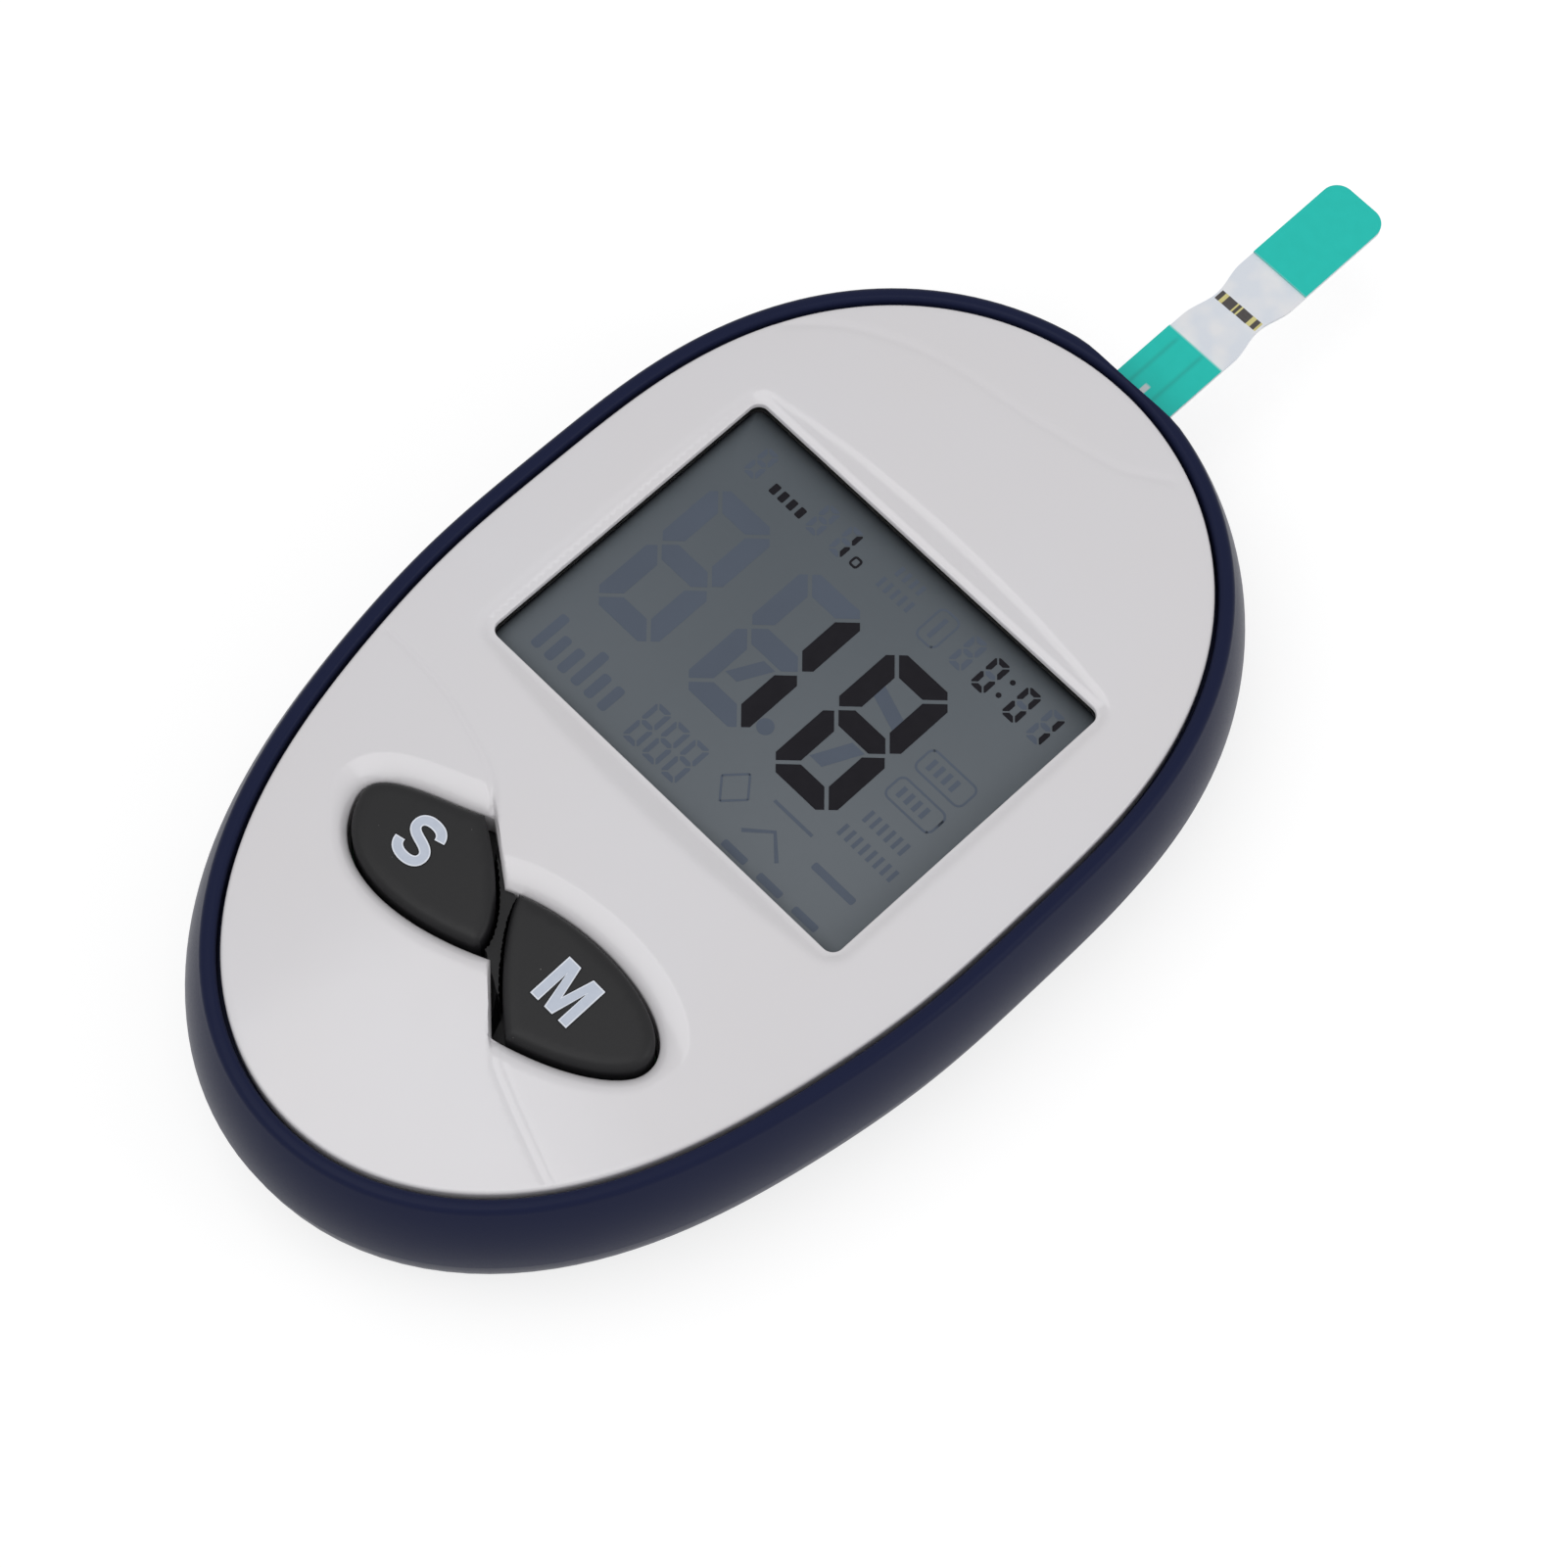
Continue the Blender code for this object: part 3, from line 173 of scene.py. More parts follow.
# The port's end is flattened: how far out it lies, its slope, its own curve and how it blends in
PORT_REACH, PORT_DRAFT, PORT_RADIUS, PORT_BLEND = 45.853, 1.5, 60.0, 0.5
DRAFT_FROM, DRAFT_OVER, NO_PORT = 22.5, 16.5, 200.0
# The underside turns up to the side wall along a quarter of an ellipse
TURN_START, TURN_WIDTH, TURN_HEIGHT, CASE_WALL, STEP_HEIGHT = -6.0, 9.0, 9.7, 3.0, 10.8
PIECE_GAP, CELL_AXIS = 0.3, 7.0
BAY_HALF_WIDTH, BAY_LOWER_Y, BAY_UPPER_Y, BAY_WALL, BAY_HEIGHT = 11.0, -38.5, 10.6, 1.0, 12.2
DOOR_RECESS, DOOR_THICKNESS, DOOR_HALF_WIDTH, DOOR_UPPER_Y = 0.15, 1.35, 12.8, 12.4
TONGUE_WIDTH, TONGUE_LOW, SLOT_LOW, SLOT_TOP = 0.8, 1.0, 0.7, 1.8
TUBE_RADIUS, WELL_RADIUS, WELL_TOP, BORE_RADIUS, SCREW_INSET = 3.4, 2.1, 5.2, 1.2, 3.2
# From the middle of the plan in millimetres to the object's own place in metres
ORIGIN_Y = 25.8
TO_PLACE = Matrix.Translation((0.0, -ORIGIN_Y / 1000, 0.0)) @ Matrix.Scale(0.001, 4)


def plan_radius(angle):
    return PLAN_RADIUS + sum(size * np.cos(count * angle) for count, size in PLAN_WAVES.values())


def plan_turn(angle):
    """How fast the radius changes with the angle."""
    return -sum(count * size * np.sin(count * angle) for count, size in PLAN_WAVES.values())


def plan_ring(offset, steps):
    """Points at a distance outside the cover's edge."""
    angle = np.linspace(0, math.tau, steps, endpoint=False)
    radius, turn = plan_radius(angle), plan_turn(angle)
    tangent_x = turn * np.sin(angle) + radius * np.cos(angle)
    tangent_y = turn * np.cos(angle) - radius * np.sin(angle)
    length = np.hypot(tangent_x, tangent_y)
    x = radius * np.sin(angle) - tangent_y / length * offset
    y = radius * np.cos(angle) + tangent_x / length * offset
    return np.column_stack([x, y])


def new_tree(name, sockets):
    """A Geometry Nodes tree with a geometry socket and named inputs, as wires."""
    tree = bpy.data.node_groups.new(name, "GeometryNodeTree")
    tree.interface.new_socket("Geometry", in_out="OUTPUT", socket_type="NodeSocketGeometry")
    tree.interface.new_socket("Geometry", in_out="INPUT", socket_type="NodeSocketGeometry")
    for label, kind in sockets.items():
        tree.interface.new_socket(label, in_out="INPUT", socket_type="NodeSocket" + kind)
    outputs = tree.nodes.new("NodeGroupInput").outputs
    return tree, {socket.name: Wire(socket) for socket in outputs if socket.name}


def end_tree(tree, geometry, finish):
    """The end of each tree: real meshes in place of instances, and their material."""
    real = geometry.node("GeometryNodeRealizeInstances", {}, {"Geometry": geometry})
    done = real.node("GeometryNodeSetMaterial", {}, {"Geometry": real, "Material": finish})
    tree.links.new(done.socket, tree.nodes.new("NodeGroupOutput").inputs[0])


def link(name, mesh):
    made = bpy.data.objects.new(name, mesh)
    scene.collection.objects.link(made)
    return made


def bake_down(obj):
    """A plain mesh object in place of an object with live modifiers."""
    name = obj.name
    mesh = bpy.data.meshes.new_from_object(obj.evaluated_get(bpy.context.evaluated_depsgraph_get()))
    bpy.data.objects.remove(obj)
    mesh.name = name
    return link(name, mesh)


def grow(name, base, tree, **values):
    """Runs a tree on a base mesh and keeps what it makes as a plain mesh."""
    seed = link(name, base)
    modifier = seed.modifiers.new(tree.name, "NODES")
    modifier.node_group = tree
    for item in tree.interface.items_tree:
        key = item.name.replace(" ", "_").lower()
        if item.in_out == "INPUT" and key in values:
            modifier[item.identifier] = values[key]
    return bake_down(seed)


def mesh_of(name, points, faces):
    mesh = bpy.data.meshes.new(name)
    mesh.from_pydata([tuple(map(float, p)) for p in points], [], faces)
    return mesh


def settle(obj, body, replaces=(), slot=None, sharp=35, finish=None, merge=0.0005, weighted=False):
    """Closes a finished mesh, turns its faces outwards, brings it to its place and fixes it to its body."""
    bm = bmesh.new()
    bm.from_mesh(obj.data)
    bmesh.ops.remove_doubles(bm, verts=bm.verts[:], dist=merge)
    bmesh.ops.recalc_face_normals(bm, faces=bm.faces[:])
    bmesh.ops.transform(bm, matrix=TO_PLACE, verts=bm.verts[:])
    bm.to_mesh(obj.data)
    bm.free()
    obj.data.shade_smooth()
    obj.data.set_sharp_from_angle(angle=math.radians(sharp))
    if weighted:
        obj.modifiers.new("weighted", "WEIGHTED_NORMAL").keep_sharp = True
        obj = bake_down(obj)
    if finish:
        obj.data.materials.clear()
        obj.data.materials.append(finish)
    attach(obj, body)
    if replaces:
        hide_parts(*replaces)


def start_finish(name, colour, roughness, metallic=0.0, **uniform):
    """A material, and the place on the piece in millimetres as a wire."""
    finish = bpy.data.materials.new(name)
    finish.use_nodes = True
    shader = finish.node_tree.nodes["Principled BSDF"]
    shader.inputs["Base Color"].default_value = colour
    shader.inputs["Roughness"].default_value = roughness
    shader.inputs["Metallic"].default_value = metallic
    for label, value in uniform.items():
        shader.inputs[label.replace("_", " ")].default_value = value
    place = Wire(finish.node_tree.nodes.new("ShaderNodeTexCoord").outputs["Object"])
    scaled = place.node("ShaderNodeVectorMath", {"operation": "SCALE"}, {0: place, "Scale": 1000.0})
    return finish, scaled


def feed(finish, socket, wire):
    tree = finish.node_tree
    tree.links.new(wire.socket, tree.nodes["Principled BSDF"].inputs[socket])


def noise(place, scale, detail=2.0):
    return place.node("ShaderNodeTexNoise", {}, {"Vector": place, "Scale": scale, "Detail": detail})


def part(vector, axis):
    return vector.node("ShaderNodeSeparateXYZ", {}, {0: vector}, axis)


def emboss(finish, height, depth, strength=1.0):
    """A fine relief in the look of the surface, with its depth in millimetres."""
    relief = {"Strength": strength, "Distance": depth / 1000, "Height": height}
    feed(finish, "Normal", height.node("ShaderNodeBump", {}, relief))


def shade(colour, share):
    return (*(c * share for c in colour[:3]), 1.0)


def moulded(name, colour, roughness, grain=0.004, grain_scale=6.0, **uniform):
    """Moulded plastic: a faint cloudiness in the colour, and the fine texture of the mould."""
    finish, place = start_finish(name, colour, roughness, **uniform)
    cloud = noise(place, 0.11, 3.0)
    feed(finish, "Base Color", paint(cloud, shade(colour, 0.96), shade(colour, 1.04)))
    fine = noise(place, grain_scale, 4.0)
    feed(finish, "Roughness", fine * 0.12 + cloud * 0.08 + (roughness - 0.10))
    emboss(finish, fine, grain)
    return finish


NAVY = rgb(27, 32, 58)
navy_plastic = moulded("navy_plastic", NAVY, 0.34, grain=0.006, grain_scale=5.0, Specular_IOR_Level=0.06)

# A profile given as angle, offset and height is bent round the plan, then held behind the port's flat
port_sizes = ("Port Reach", "Port Draft", "Port Radius", "Port Blend")
sockets = dict.fromkeys(("Radius", *PLAN_WAVES, *port_sizes), "Float")
wrap, given = new_tree("follow_the_plan", {**sockets, "Finish": "Material"})
position = given["Geometry"].node("GeometryNodeInputPosition")
angle, offset, height = (part(position, axis) for axis in range(3))
radius, turn = given["Radius"], angle * 0.0
for name, (count, _) in PLAN_WAVES.items():
    radius = radius + (angle * count).math("COSINE") * given[name]
    turn = turn - (angle * count).math("SINE") * given[name] * count
along, across = angle.math("COSINE"), angle.math("SINE")
tangent_x = turn * across + radius * along
tangent_y = turn * along - radius * across
length = (tangent_x * tangent_x + tangent_y * tangent_y).math("SQRT")
x = radius * across - tangent_y / length * offset
y = radius * along + tangent_x / length * offset
flat_radius = given["Port Radius"]
chord = (flat_radius * flat_radius - x * x).math("MAXIMUM", 0.0).math("SQRT")
draft = given["Port Draft"] * (DRAFT_FROM - height) / DRAFT_OVER
flat_y = given["Port Reach"] + draft + flat_radius - chord
y = y.math("SMOOTH_MIN", flat_y, given["Port Blend"])
spot = x.node("ShaderNodeCombineXYZ", {}, {0: x, 1: y, 2: height})
moved = spot.node("GeometryNodeSetPosition", {}, {"Geometry": given["Geometry"], "Position": spot})
end_tree(wrap, moved, given["Finish"])


def follow_plan(name, profile, steps, finish, closed=False, port_reach=NO_PORT):
    """A band or a dish whose profile of (offset, height) points goes once round the plan."""
    points = [(math.tau * i / steps, offset, z) for i in range(steps) for offset, z in profile]
    count = len(profile)
    faces = []
    for i in range(steps):
        here, there = i * count, (i + 1) % steps * count
        for k in range(count if closed else count - 1):
            n = (k + 1) % count
            faces.append((here + k, here + n, there + n, there + k))
    if not closed:
        faces.append(tuple(i * count for i in range(steps)))
        faces.append(tuple(i * count + count - 1 for i in reversed(range(steps))))
    waves = {name.lower(): size for name, (_, size) in PLAN_WAVES.items()}
    return grow(
        name, mesh_of(name, points, faces), wrap, radius=PLAN_RADIUS, **waves, port_reach=port_reach,
        port_draft=PORT_DRAFT, port_radius=PORT_RADIUS, port_blend=PORT_BLEND, finish=finish,
    )


def solid_over(loop, low, high, first=0):
    """Points and faces of a solid over a loop. A height is a number or a rule for points."""
    loop, count = np.asarray(loop, float), len(loop)
    points = []
    for height in (low, high):
        z = height(loop) if callable(height) else np.full(count, height)
        points += list(np.column_stack([loop, z]))
    faces = [tuple(range(first, first + count))[::-1], tuple(range(first + count, first + 2 * count))]
    for i in range(count):
        j = (i + 1) % count
        faces.append((first + i, first + j, first + count + j, first + count + i))
    return points, faces


def prism(loop, low, high):
    return mesh_of("cutter", *solid_over(loop, low, high))


def rectangle(x0, y0, x1, y1, corner=0.0, steps=4):
    if corner == 0.0:
        return [(x0, y0), (x1, y0), (x1, y1), (x0, y1)]
    loop = []
    for cx, cy, start in ((x1, y1, 0), (x0, y1, 90), (x0, y0, 180), (x1, y0, 270)):
        sx, sy = (1 if cx == x1 else -1), (1 if cy == y1 else -1)
        for i in range(steps + 1):
            turn = math.radians(start + 90 * i / steps)
            x, y = corner * (math.cos(turn) - sx), corner * (math.sin(turn) - sy)
            loop.append((cx + x, cy + y))
    return loop


def circle(x, y, radius, steps=32):
    turns = [math.tau * i / steps for i in range(steps)]
    return [(x + radius * math.cos(turn), y + radius * math.sin(turn)) for turn in turns]


def carve(obj, meshes, operation="DIFFERENCE"):
    """Cuts each mesh out of an object, or joins it on, and leaves a plain mesh."""
    tools = []
    for mesh in meshes:
        tool = link("tool", mesh)
        tool.hide_render = True
        tools.append(tool)
        modifier = obj.modifiers.new("shape", "BOOLEAN")
        modifier.operation, modifier.solver, modifier.object = operation, "EXACT", tool
    made = bake_down(obj)
    for tool in tools:
        bpy.data.objects.remove(tool)
    return made


def soften(obj, width):
    """Breaks the sharp edges of a finished mesh with a narrow bevel."""
    modifier = obj.modifiers.new("edges", "BEVEL")
    modifier.width, modifier.segments = width, 2
    modifier.limit_method, modifier.angle_limit = "ANGLE", math.radians(40)
    return bake_down(obj)


def case_turn(inwards, steps):
    """The quarter turn from the underside to the side wall, at the outer face or inside it."""
    turns = (math.pi / 2 * i / steps for i in range(steps + 1))
    width, rise = TURN_WIDTH - inwards, TURN_HEIGHT - inwards
    return [(TURN_START + width * math.sin(t), inwards + rise * (1 - math.cos(t))) for t in turns]


# Places of the four case screws, near the housing's corners
per_degree = plan_ring(-SCREW_INSET, 360)
screw_spots = [tuple(per_degree[angle]) for angle in (25, 152, -152, -25)]

step = [(0.9, TURN_HEIGHT), (0.9, STEP_HEIGHT), (0.0, STEP_HEIGHT)]
profile = case_turn(0.0, 16) + step + case_turn(CASE_WALL, 8)[-2::-1]
case = follow_plan("case_shell", profile, 192, navy_plastic)
bay = (-BAY_HALF_WIDTH, BAY_LOWER_Y, BAY_HALF_WIDTH, BAY_UPPER_Y)
bay_walls = [side + BAY_WALL * way for side, way in zip(bay, (-1, -1, 1, 1))]
walls = [prism(rectangle(*bay_walls, 0.6), SLOT_TOP, BAY_HEIGHT)]
walls += [prism(circle(x, y, TUBE_RADIUS), CASE_WALL, PARTING_HEIGHT) for x, y in screw_spots]
case = carve(case, walls, "UNION")
cuts = [prism(rectangle(*bay, 0.5), -5.0, 30.0)]
for widened, low in ((0.0, -4.0), (TONGUE_WIDTH, SLOT_LOW)):
    half = DOOR_HALF_WIDTH + PIECE_GAP + widened
    cuts.append(prism(rectangle(-half, -60.0, half, DOOR_UPPER_Y + PIECE_GAP), low, SLOT_TOP))
for x, y in screw_spots:
    cuts += [prism(circle(x, y, WELL_RADIUS), -4.0, WELL_TOP), prism(circle(x, y, BORE_RADIUS, 24), 0.0, 14.0)]
case = soften(carve(case, cuts), 0.12)
settle(case, "meter", ["rear_case"], "navy_housing", finish=navy_plastic, weighted=True)


# Upper housing.
# The navy ring that shows all round the cover. Its wall leans out towards the parting line, its lip
# is rolled in towards the cover, and its upper end is flattened where the strip's slot comes out.

# The wall's lean, and where its curve meets the lip; then the lip's own quarter turn
WALL_BULGE, WALL_TOP, WALL_TOP_SHARE, WALL_HEIGHT = 3.3, 1.713, 0.949, 8.5
LIP_FROM, LIP_OUT, LIP_WIDTH, LIP_BASE, LIP_RISE = 19.0, 1.75, 0.68, 17.82, 0.78
PORT_HALF, PORT_LOW, PORT_HIGH = 3.45, 12.2, 13.5

profile = [(3.0, PARTING_HEIGHT)]
for share in 0.04 + 0.05 * np.arange(19):
    lean = (WALL_TOP - WALL_BULGE) * (share / WALL_TOP_SHARE) ** 2
    profile.append((WALL_BULGE + lean, PARTING_HEIGHT + WALL_HEIGHT * share))
for i in range(9):
    turn = math.radians(LIP_FROM + (90 - LIP_FROM) * i / 8)
    profile.append((LIP_OUT - LIP_WIDTH * (1 - math.cos(turn)), LIP_BASE + LIP_RISE * math.sin(turn)))
profile += [(0.80, 18.66), (0.60, 18.60), (0.45, 18.45), (0.37, 18.25), (0.35, 18.0), (0.35, 16.3)]
profile += [(-1.25, 16.3), (-1.25, 15.1), (0.35, 15.1), (1.2, 14.2), (1.2, PARTING_HEIGHT)]
housing = follow_plan("housing_ring", profile, 256, navy_plastic, closed=True, port_reach=PORT_REACH)
port = prism(rectangle(-PORT_HALF, PORT_LOW, PORT_HALF, PORT_HIGH, 0.3), -56.0, -40.0)
port.transform(Matrix.Rotation(math.pi / 2, 4, "X"))
settle(carve(housing, [port]), "meter", ["upper_housing"], "navy_housing", finish=navy_plastic)


# Front cover.
# One gloss white moulding, slightly domed. A bevel falls to the display window, a scoop runs round
# both buttons, and four shallow curved lines are pressed into it.

LIP_TOP, DOME_RISE, BEZEL_SLOPE, BEZEL_FLAT, BEZEL_BLEND = 18.8, 2.3, 0.70, 0.3, 0.22
WINDOW_HALF, WINDOW_LENGTH_HALF, WINDOW_Y, WINDOW_CORNER = 19.7, 15.2, 7.4, 1.0
PAD_X, PAD_Y, PETAL_REACH, PETAL_RISE = -0.15, -25.14, 16.6, 6.2
# The scoop is wider above the petals than below them, and ends in a short step at the waist
RECESS_UPPER, RECESS_LOWER, RECESS_DEPTH, RECESS_END = 2.25, 1.35, 0.95, 0.3
COVER_ROUND, WINDOW_ROUND, OPENING_ROUND = 0.3, 0.18, 0.12
COVER_WALL, UNDER_PETALS, UNDER_RIM, UNDER_WINDOW = 1.5, 16.45, 16.6, 18.2
# Curves round each petal in shares of its reach, from the waist over the nose to the top corner. The
# petal marked S is side 1, and the other, side -1, is turned half round.
PETAL_CURVES = {
    1: (
        (0.097, -0.382), (-0.379, -0.986), (-0.840, -0.976), (-0.970, -0.056),
        (-1.043, 0.504), (-0.626, 0.655), (-0.417, 0.976),
    ),
    -1: (
        (0.116, -0.407), (-0.308, -0.975), (-1.054, -0.806), (-1.004, 0.008),
        (-0.983, 0.338), (-0.751, 0.818), (-0.385, 1.084),
    ),
}
PETAL_CUTS = {
    1: ((-0.445, 0.882), (-0.26, 0.60), (0.01, 0.09), (0.022, -0.358)),
    -1: ((-0.443, 0.981), (-0.30, 0.72), (-0.01, -0.01), (0.036, -0.477)),
}


def bezier(points, steps):
    """Points along a cubic curve, without its last one."""
    a, b, c, d = (np.array(p, float) for p in points)
    t = np.linspace(0, 1, steps, endpoint=False)[:, None]
    return a * (1 - t) ** 3 + b * 3 * t * (1 - t) ** 2 + c * 3 * t * t * (1 - t) + d * t**3


def chained(points, steps):
    """A line of cubic curves, each of which starts where the last one ends."""
    curves = [bezier(points[3 * k : 3 * k + 4], count) for k, count in enumerate(steps)]
    return np.vstack([*curves, points[-1]])


def pad(shares, side):
    return np.array([PAD_X, PAD_Y]) + side * np.array(shares) * (PETAL_REACH, PETAL_RISE)


def petal_arcs(side):
    return chained(pad(PETAL_CURVES[side], side), (48, 32))


def petal_cut(side):
    """The petal's own edge towards the waist, from its top corner."""
    return chained(pad(PETAL_CUTS[side], side), (20,))


def petal_outline(side, gap):
    """A petal's edge: the opening's arcs less a gap, cut off along the petal's own cut edge."""
    arcs, cut = grown(petal_arcs(side), -gap)[1:-1], petal_cut(side)
    nearest = np.argmin(np.hypot(*(arcs[:, None] - cut[None, :-1]).transpose(2, 0, 1)), 1)
    step, back = cut[nearest + 1] - cut[nearest], arcs - cut[nearest]
    beside = step[:, 0] * back[:, 1] - step[:, 1] * back[:, 0]
    return np.vstack([arcs[beside < -0.05 * np.hypot(*step.T)], cut])


def loop_gap(points, loop, closed=True):
    """Distance from each point to a loop or an open line."""
    starts = np.asarray(loop)
    steps = np.roll(starts, -1, 0) - starts
    best = np.full(len(points), np.inf)
    for start, step in zip(starts if closed else starts[:-1], steps):
        along = np.clip((points - start) @ step / max(step @ step, 1e-12), 0, 1)
        best = np.minimum(best, np.hypot(*(points - start - along[:, None] * step).T))
    return best


def inside(points, loop):
    odd = np.zeros(len(points), bool)
    for (ax, ay), (bx, by) in zip(loop, np.roll(loop, -1, 0)):
        if ay != by:
            crossed = (ay > points[:, 1]) != (by > points[:, 1])
            odd ^= crossed & (points[:, 0] < ax + (bx - ax) * (points[:, 1] - ay) / (by - ay))
    return odd


def unit(vectors):
    return vectors / np.hypot(*vectors.T)[..., None]


def left_of(vectors):
    """Unit vectors, turned a quarter to the left."""
    return unit(vectors)[..., ::-1] * (-1, 1)


def grown(loop, distance):
    """A loop grown by a distance, or shrunk by a negative one."""
    loop = np.asarray(loop, float)
    before, after = np.roll(loop, 1, 0), np.roll(loop, -1, 0)
    area = np.sum(loop[:, 0] * after[:, 1] - after[:, 0] * loop[:, 1])
    ahead = unit(after - loop)
    middle = unit(unit(loop - before) + ahead)
    reach = distance / np.maximum(0.5, np.sum(middle * ahead, 1))
    return loop - left_of(middle) * np.sign(area) * reach[:, None]


def window_gap(points):
    x = np.abs(points[:, 0]) - WINDOW_HALF + WINDOW_CORNER
    y = np.abs(points[:, 1] - WINDOW_Y) - WINDOW_LENGTH_HALF + WINDOW_CORNER
    outside = np.hypot(np.maximum(x, 0), np.maximum(y, 0))
    return outside + np.minimum(np.maximum(x, y), 0) - WINDOW_CORNER


def window_loop(margin):
    """The window's outline grown by a margin, with its long sides cut into pieces of half a millimetre."""
    x, y = WINDOW_HALF + margin, WINDOW_LENGTH_HALF + margin
    loop = np.array(rectangle(-x, WINDOW_Y - y, x, WINDOW_Y + y, WINDOW_CORNER + margin, 8))
    points = []
    for a, b in zip(loop, np.roll(loop, -1, 0)):
        pieces = max(1, math.ceil(np.hypot(*(b - a)) / 0.5))
        points += [a + (b - a) * i / pieces for i in range(pieces)]
    return np.array(points)


def plan_angle(points):
    return np.arctan2(*points.T)


def rim_gap(points):
    """Distance towards the middle from the cover's edge, along the radius."""
    return plan_radius(plan_angle(points)) - np.hypot(*points.T)


def dome(points):
    share = np.hypot(*points.T) / plan_radius(plan_angle(points))
    return RIM_HEIGHT + DOME_RISE * (1 - share**2)


def bezel(points):
    return LIP_TOP + BEZEL_SLOPE * np.maximum(0, window_gap(points) - BEZEL_FLAT)


def rounded(inset, radius):
    """How far a rounded edge has fallen at a distance in from it."""
    share = np.clip(1 - inset / radius, 0, 1)
    return radius * (1 - np.sqrt(1 - share**2))


def smooth_lower(a, b, blend):
    mix = np.clip(0.5 + 0.5 * (b - a) / blend, 0, 1)
    return b + (a - b) * mix - blend * mix * (1 - mix)


def smooth_line(points):
    """A smooth line through a few points."""
    line = np.array(points, float)
    line = np.vstack([2 * line[0] - line[1], line, 2 * line[-1] - line[-2]])
    curves = [
        bezier((b, b + (c - a) / 6, c - (d - b) / 6, c), 12)
        for a, b, c, d in zip(line, line[1:], line[2:], line[3:])
    ]
    return np.vstack([*curves, line[-2]])


opening = np.vstack([petal_arcs(1), petal_arcs(-1)])
waist_edges = []
for side in (1, -1):
    corner, end = petal_arcs(side)[-1], petal_arcs(-side)[0]
    waist_edges.append((petal_arcs(side), corner, unit(end - corner), left_of(end - corner)))

# Each pressed line's course, depth and width: left of the petals, two below them, and above the window
left_line = [(-25.4, -13.8), (-21.5, -14.0), (-17.5, -14.5), (-13.8, -15.5)]
left_line += [(-10.8, -16.5), (-8.5, -17.8), (-7.0, -19.2)]
lower_line = [(6.9, -32.0), (8.1, -33.4), (11.2, -34.7), (14.8, -36.0), (18.3, -37.2)]
second_line = [(7.3, -31.7), (8.6, -32.8), (11.8, -34.1), (15.4, -35.4), (18.9, -36.6)]
upper_line = [
    (-23.4, 29.2), (-19.7, 32.6), (-14.6, 35.2), (-9.2, 36.6), (-3.3, 37.4), (-0.6, 38.0), (4.8, 39.3),
    (6.9, 40.5), (8.8, 41.9),
]
pressed_lines = [
    (smooth_line(left_line), 0.15, 0.30), (smooth_line(lower_line), 0.04, 0.22),
    (smooth_line(second_line), 0.015, 0.22), (smooth_line(upper_line), 0.11, 0.38),
]


def cover_top(points):
    height = smooth_lower(dome(points), bezel(points), BEZEL_BLEND)
    height -= rounded(np.maximum(window_gap(points), 0), WINDOW_ROUND)
    above = np.clip((points[:, 1] - PAD_Y - 0.1 * (points[:, 0] - PAD_X)) / 4 + 0.5, 0, 1)
    width = RECESS_LOWER + (RECESS_UPPER - RECESS_LOWER) * above**2 * (3 - 2 * above)
    scoop = np.zeros(len(points))
    for arcs, corner, _, across in waist_edges:
        fade = np.clip(1 - (points - corner) @ across / RECESS_END, 0, 1)
        share = np.clip(1 - loop_gap(points, arcs, False) / width, 0, 1)
        scoop = np.maximum(scoop, (share + share**3) / 2 * fade * fade * (3 - 2 * fade))
    height -= RECESS_DEPTH * scoop
    height -= rounded(loop_gap(points, opening), OPENING_ROUND)
    for line, depth, width in pressed_lines:
        height -= depth * np.exp(-((loop_gap(points, line, False) / width) ** 2))
    angle = plan_angle(points)
    radius = plan_radius(angle)
    return height - rounded(rim_gap(points) * radius / np.hypot(radius, plan_turn(angle)), COVER_ROUND)


def sheet_between(name, outline, holes, guides, top, bottom):
    """A solid over a loop with holes, between a shaped top and a lower face."""
    loops = [np.asarray(loop) for loop in (outline, *holes, *guides)]
    points, edges = [], []
    for loop in loops:
        first = len(points)
        points += [Vector(p) for p in loop]
        if len(loop) > 2:
            edges += [(first + i, first + (i + 1) % len(loop)) for i in range(len(loop))]
    points, _, faces, _, _, _ = delaunay_2d_cdt(points, edges, [], 0, 0.0005)
    places = np.array([tuple(p) for p in points])
    middles = np.array([places[list(face)].mean(0) for face in faces])
    keep = inside(middles, loops[0])
    for hole in holes:
        keep &= ~inside(middles, hole)
    faces = [tuple(face) for face, kept in zip(faces, keep) if kept]
    used = sorted({i for face in faces for i in face})
    number = {old: new for new, old in enumerate(used)}
    places, count = places[used], len(used)
    faces = [tuple(number[i] for i in face) for face in faces]
    solid = [*faces, *(tuple(count + i for i in reversed(face)) for face in faces)]
    sides = {(i, j) for face in faces for i, j in zip(face, face[1:] + face[:1])}
    solid += [(j, i, count + i, count + j) for i, j in sides if (j, i) not in sides]
    high, low = (np.column_stack([places, rule(places)]) for rule in (top, bottom))
    return link(name, mesh_of(name, np.vstack([high, low]), solid))


def cover_bottom(points):
    height = np.minimum(dome(points), bezel(points)) - COVER_WALL
    height = np.where(loop_gap(points, opening) < 2.0, UNDER_PETALS, height)
    height = np.where(rim_gap(points) < 0.9, UNDER_RIM, height)
    return np.where(window_gap(points) < 1.2, UNDER_WINDOW, height)


def lone(points):
    """Points for the sheet's net, each on its own."""
    return [[p] for p in points]


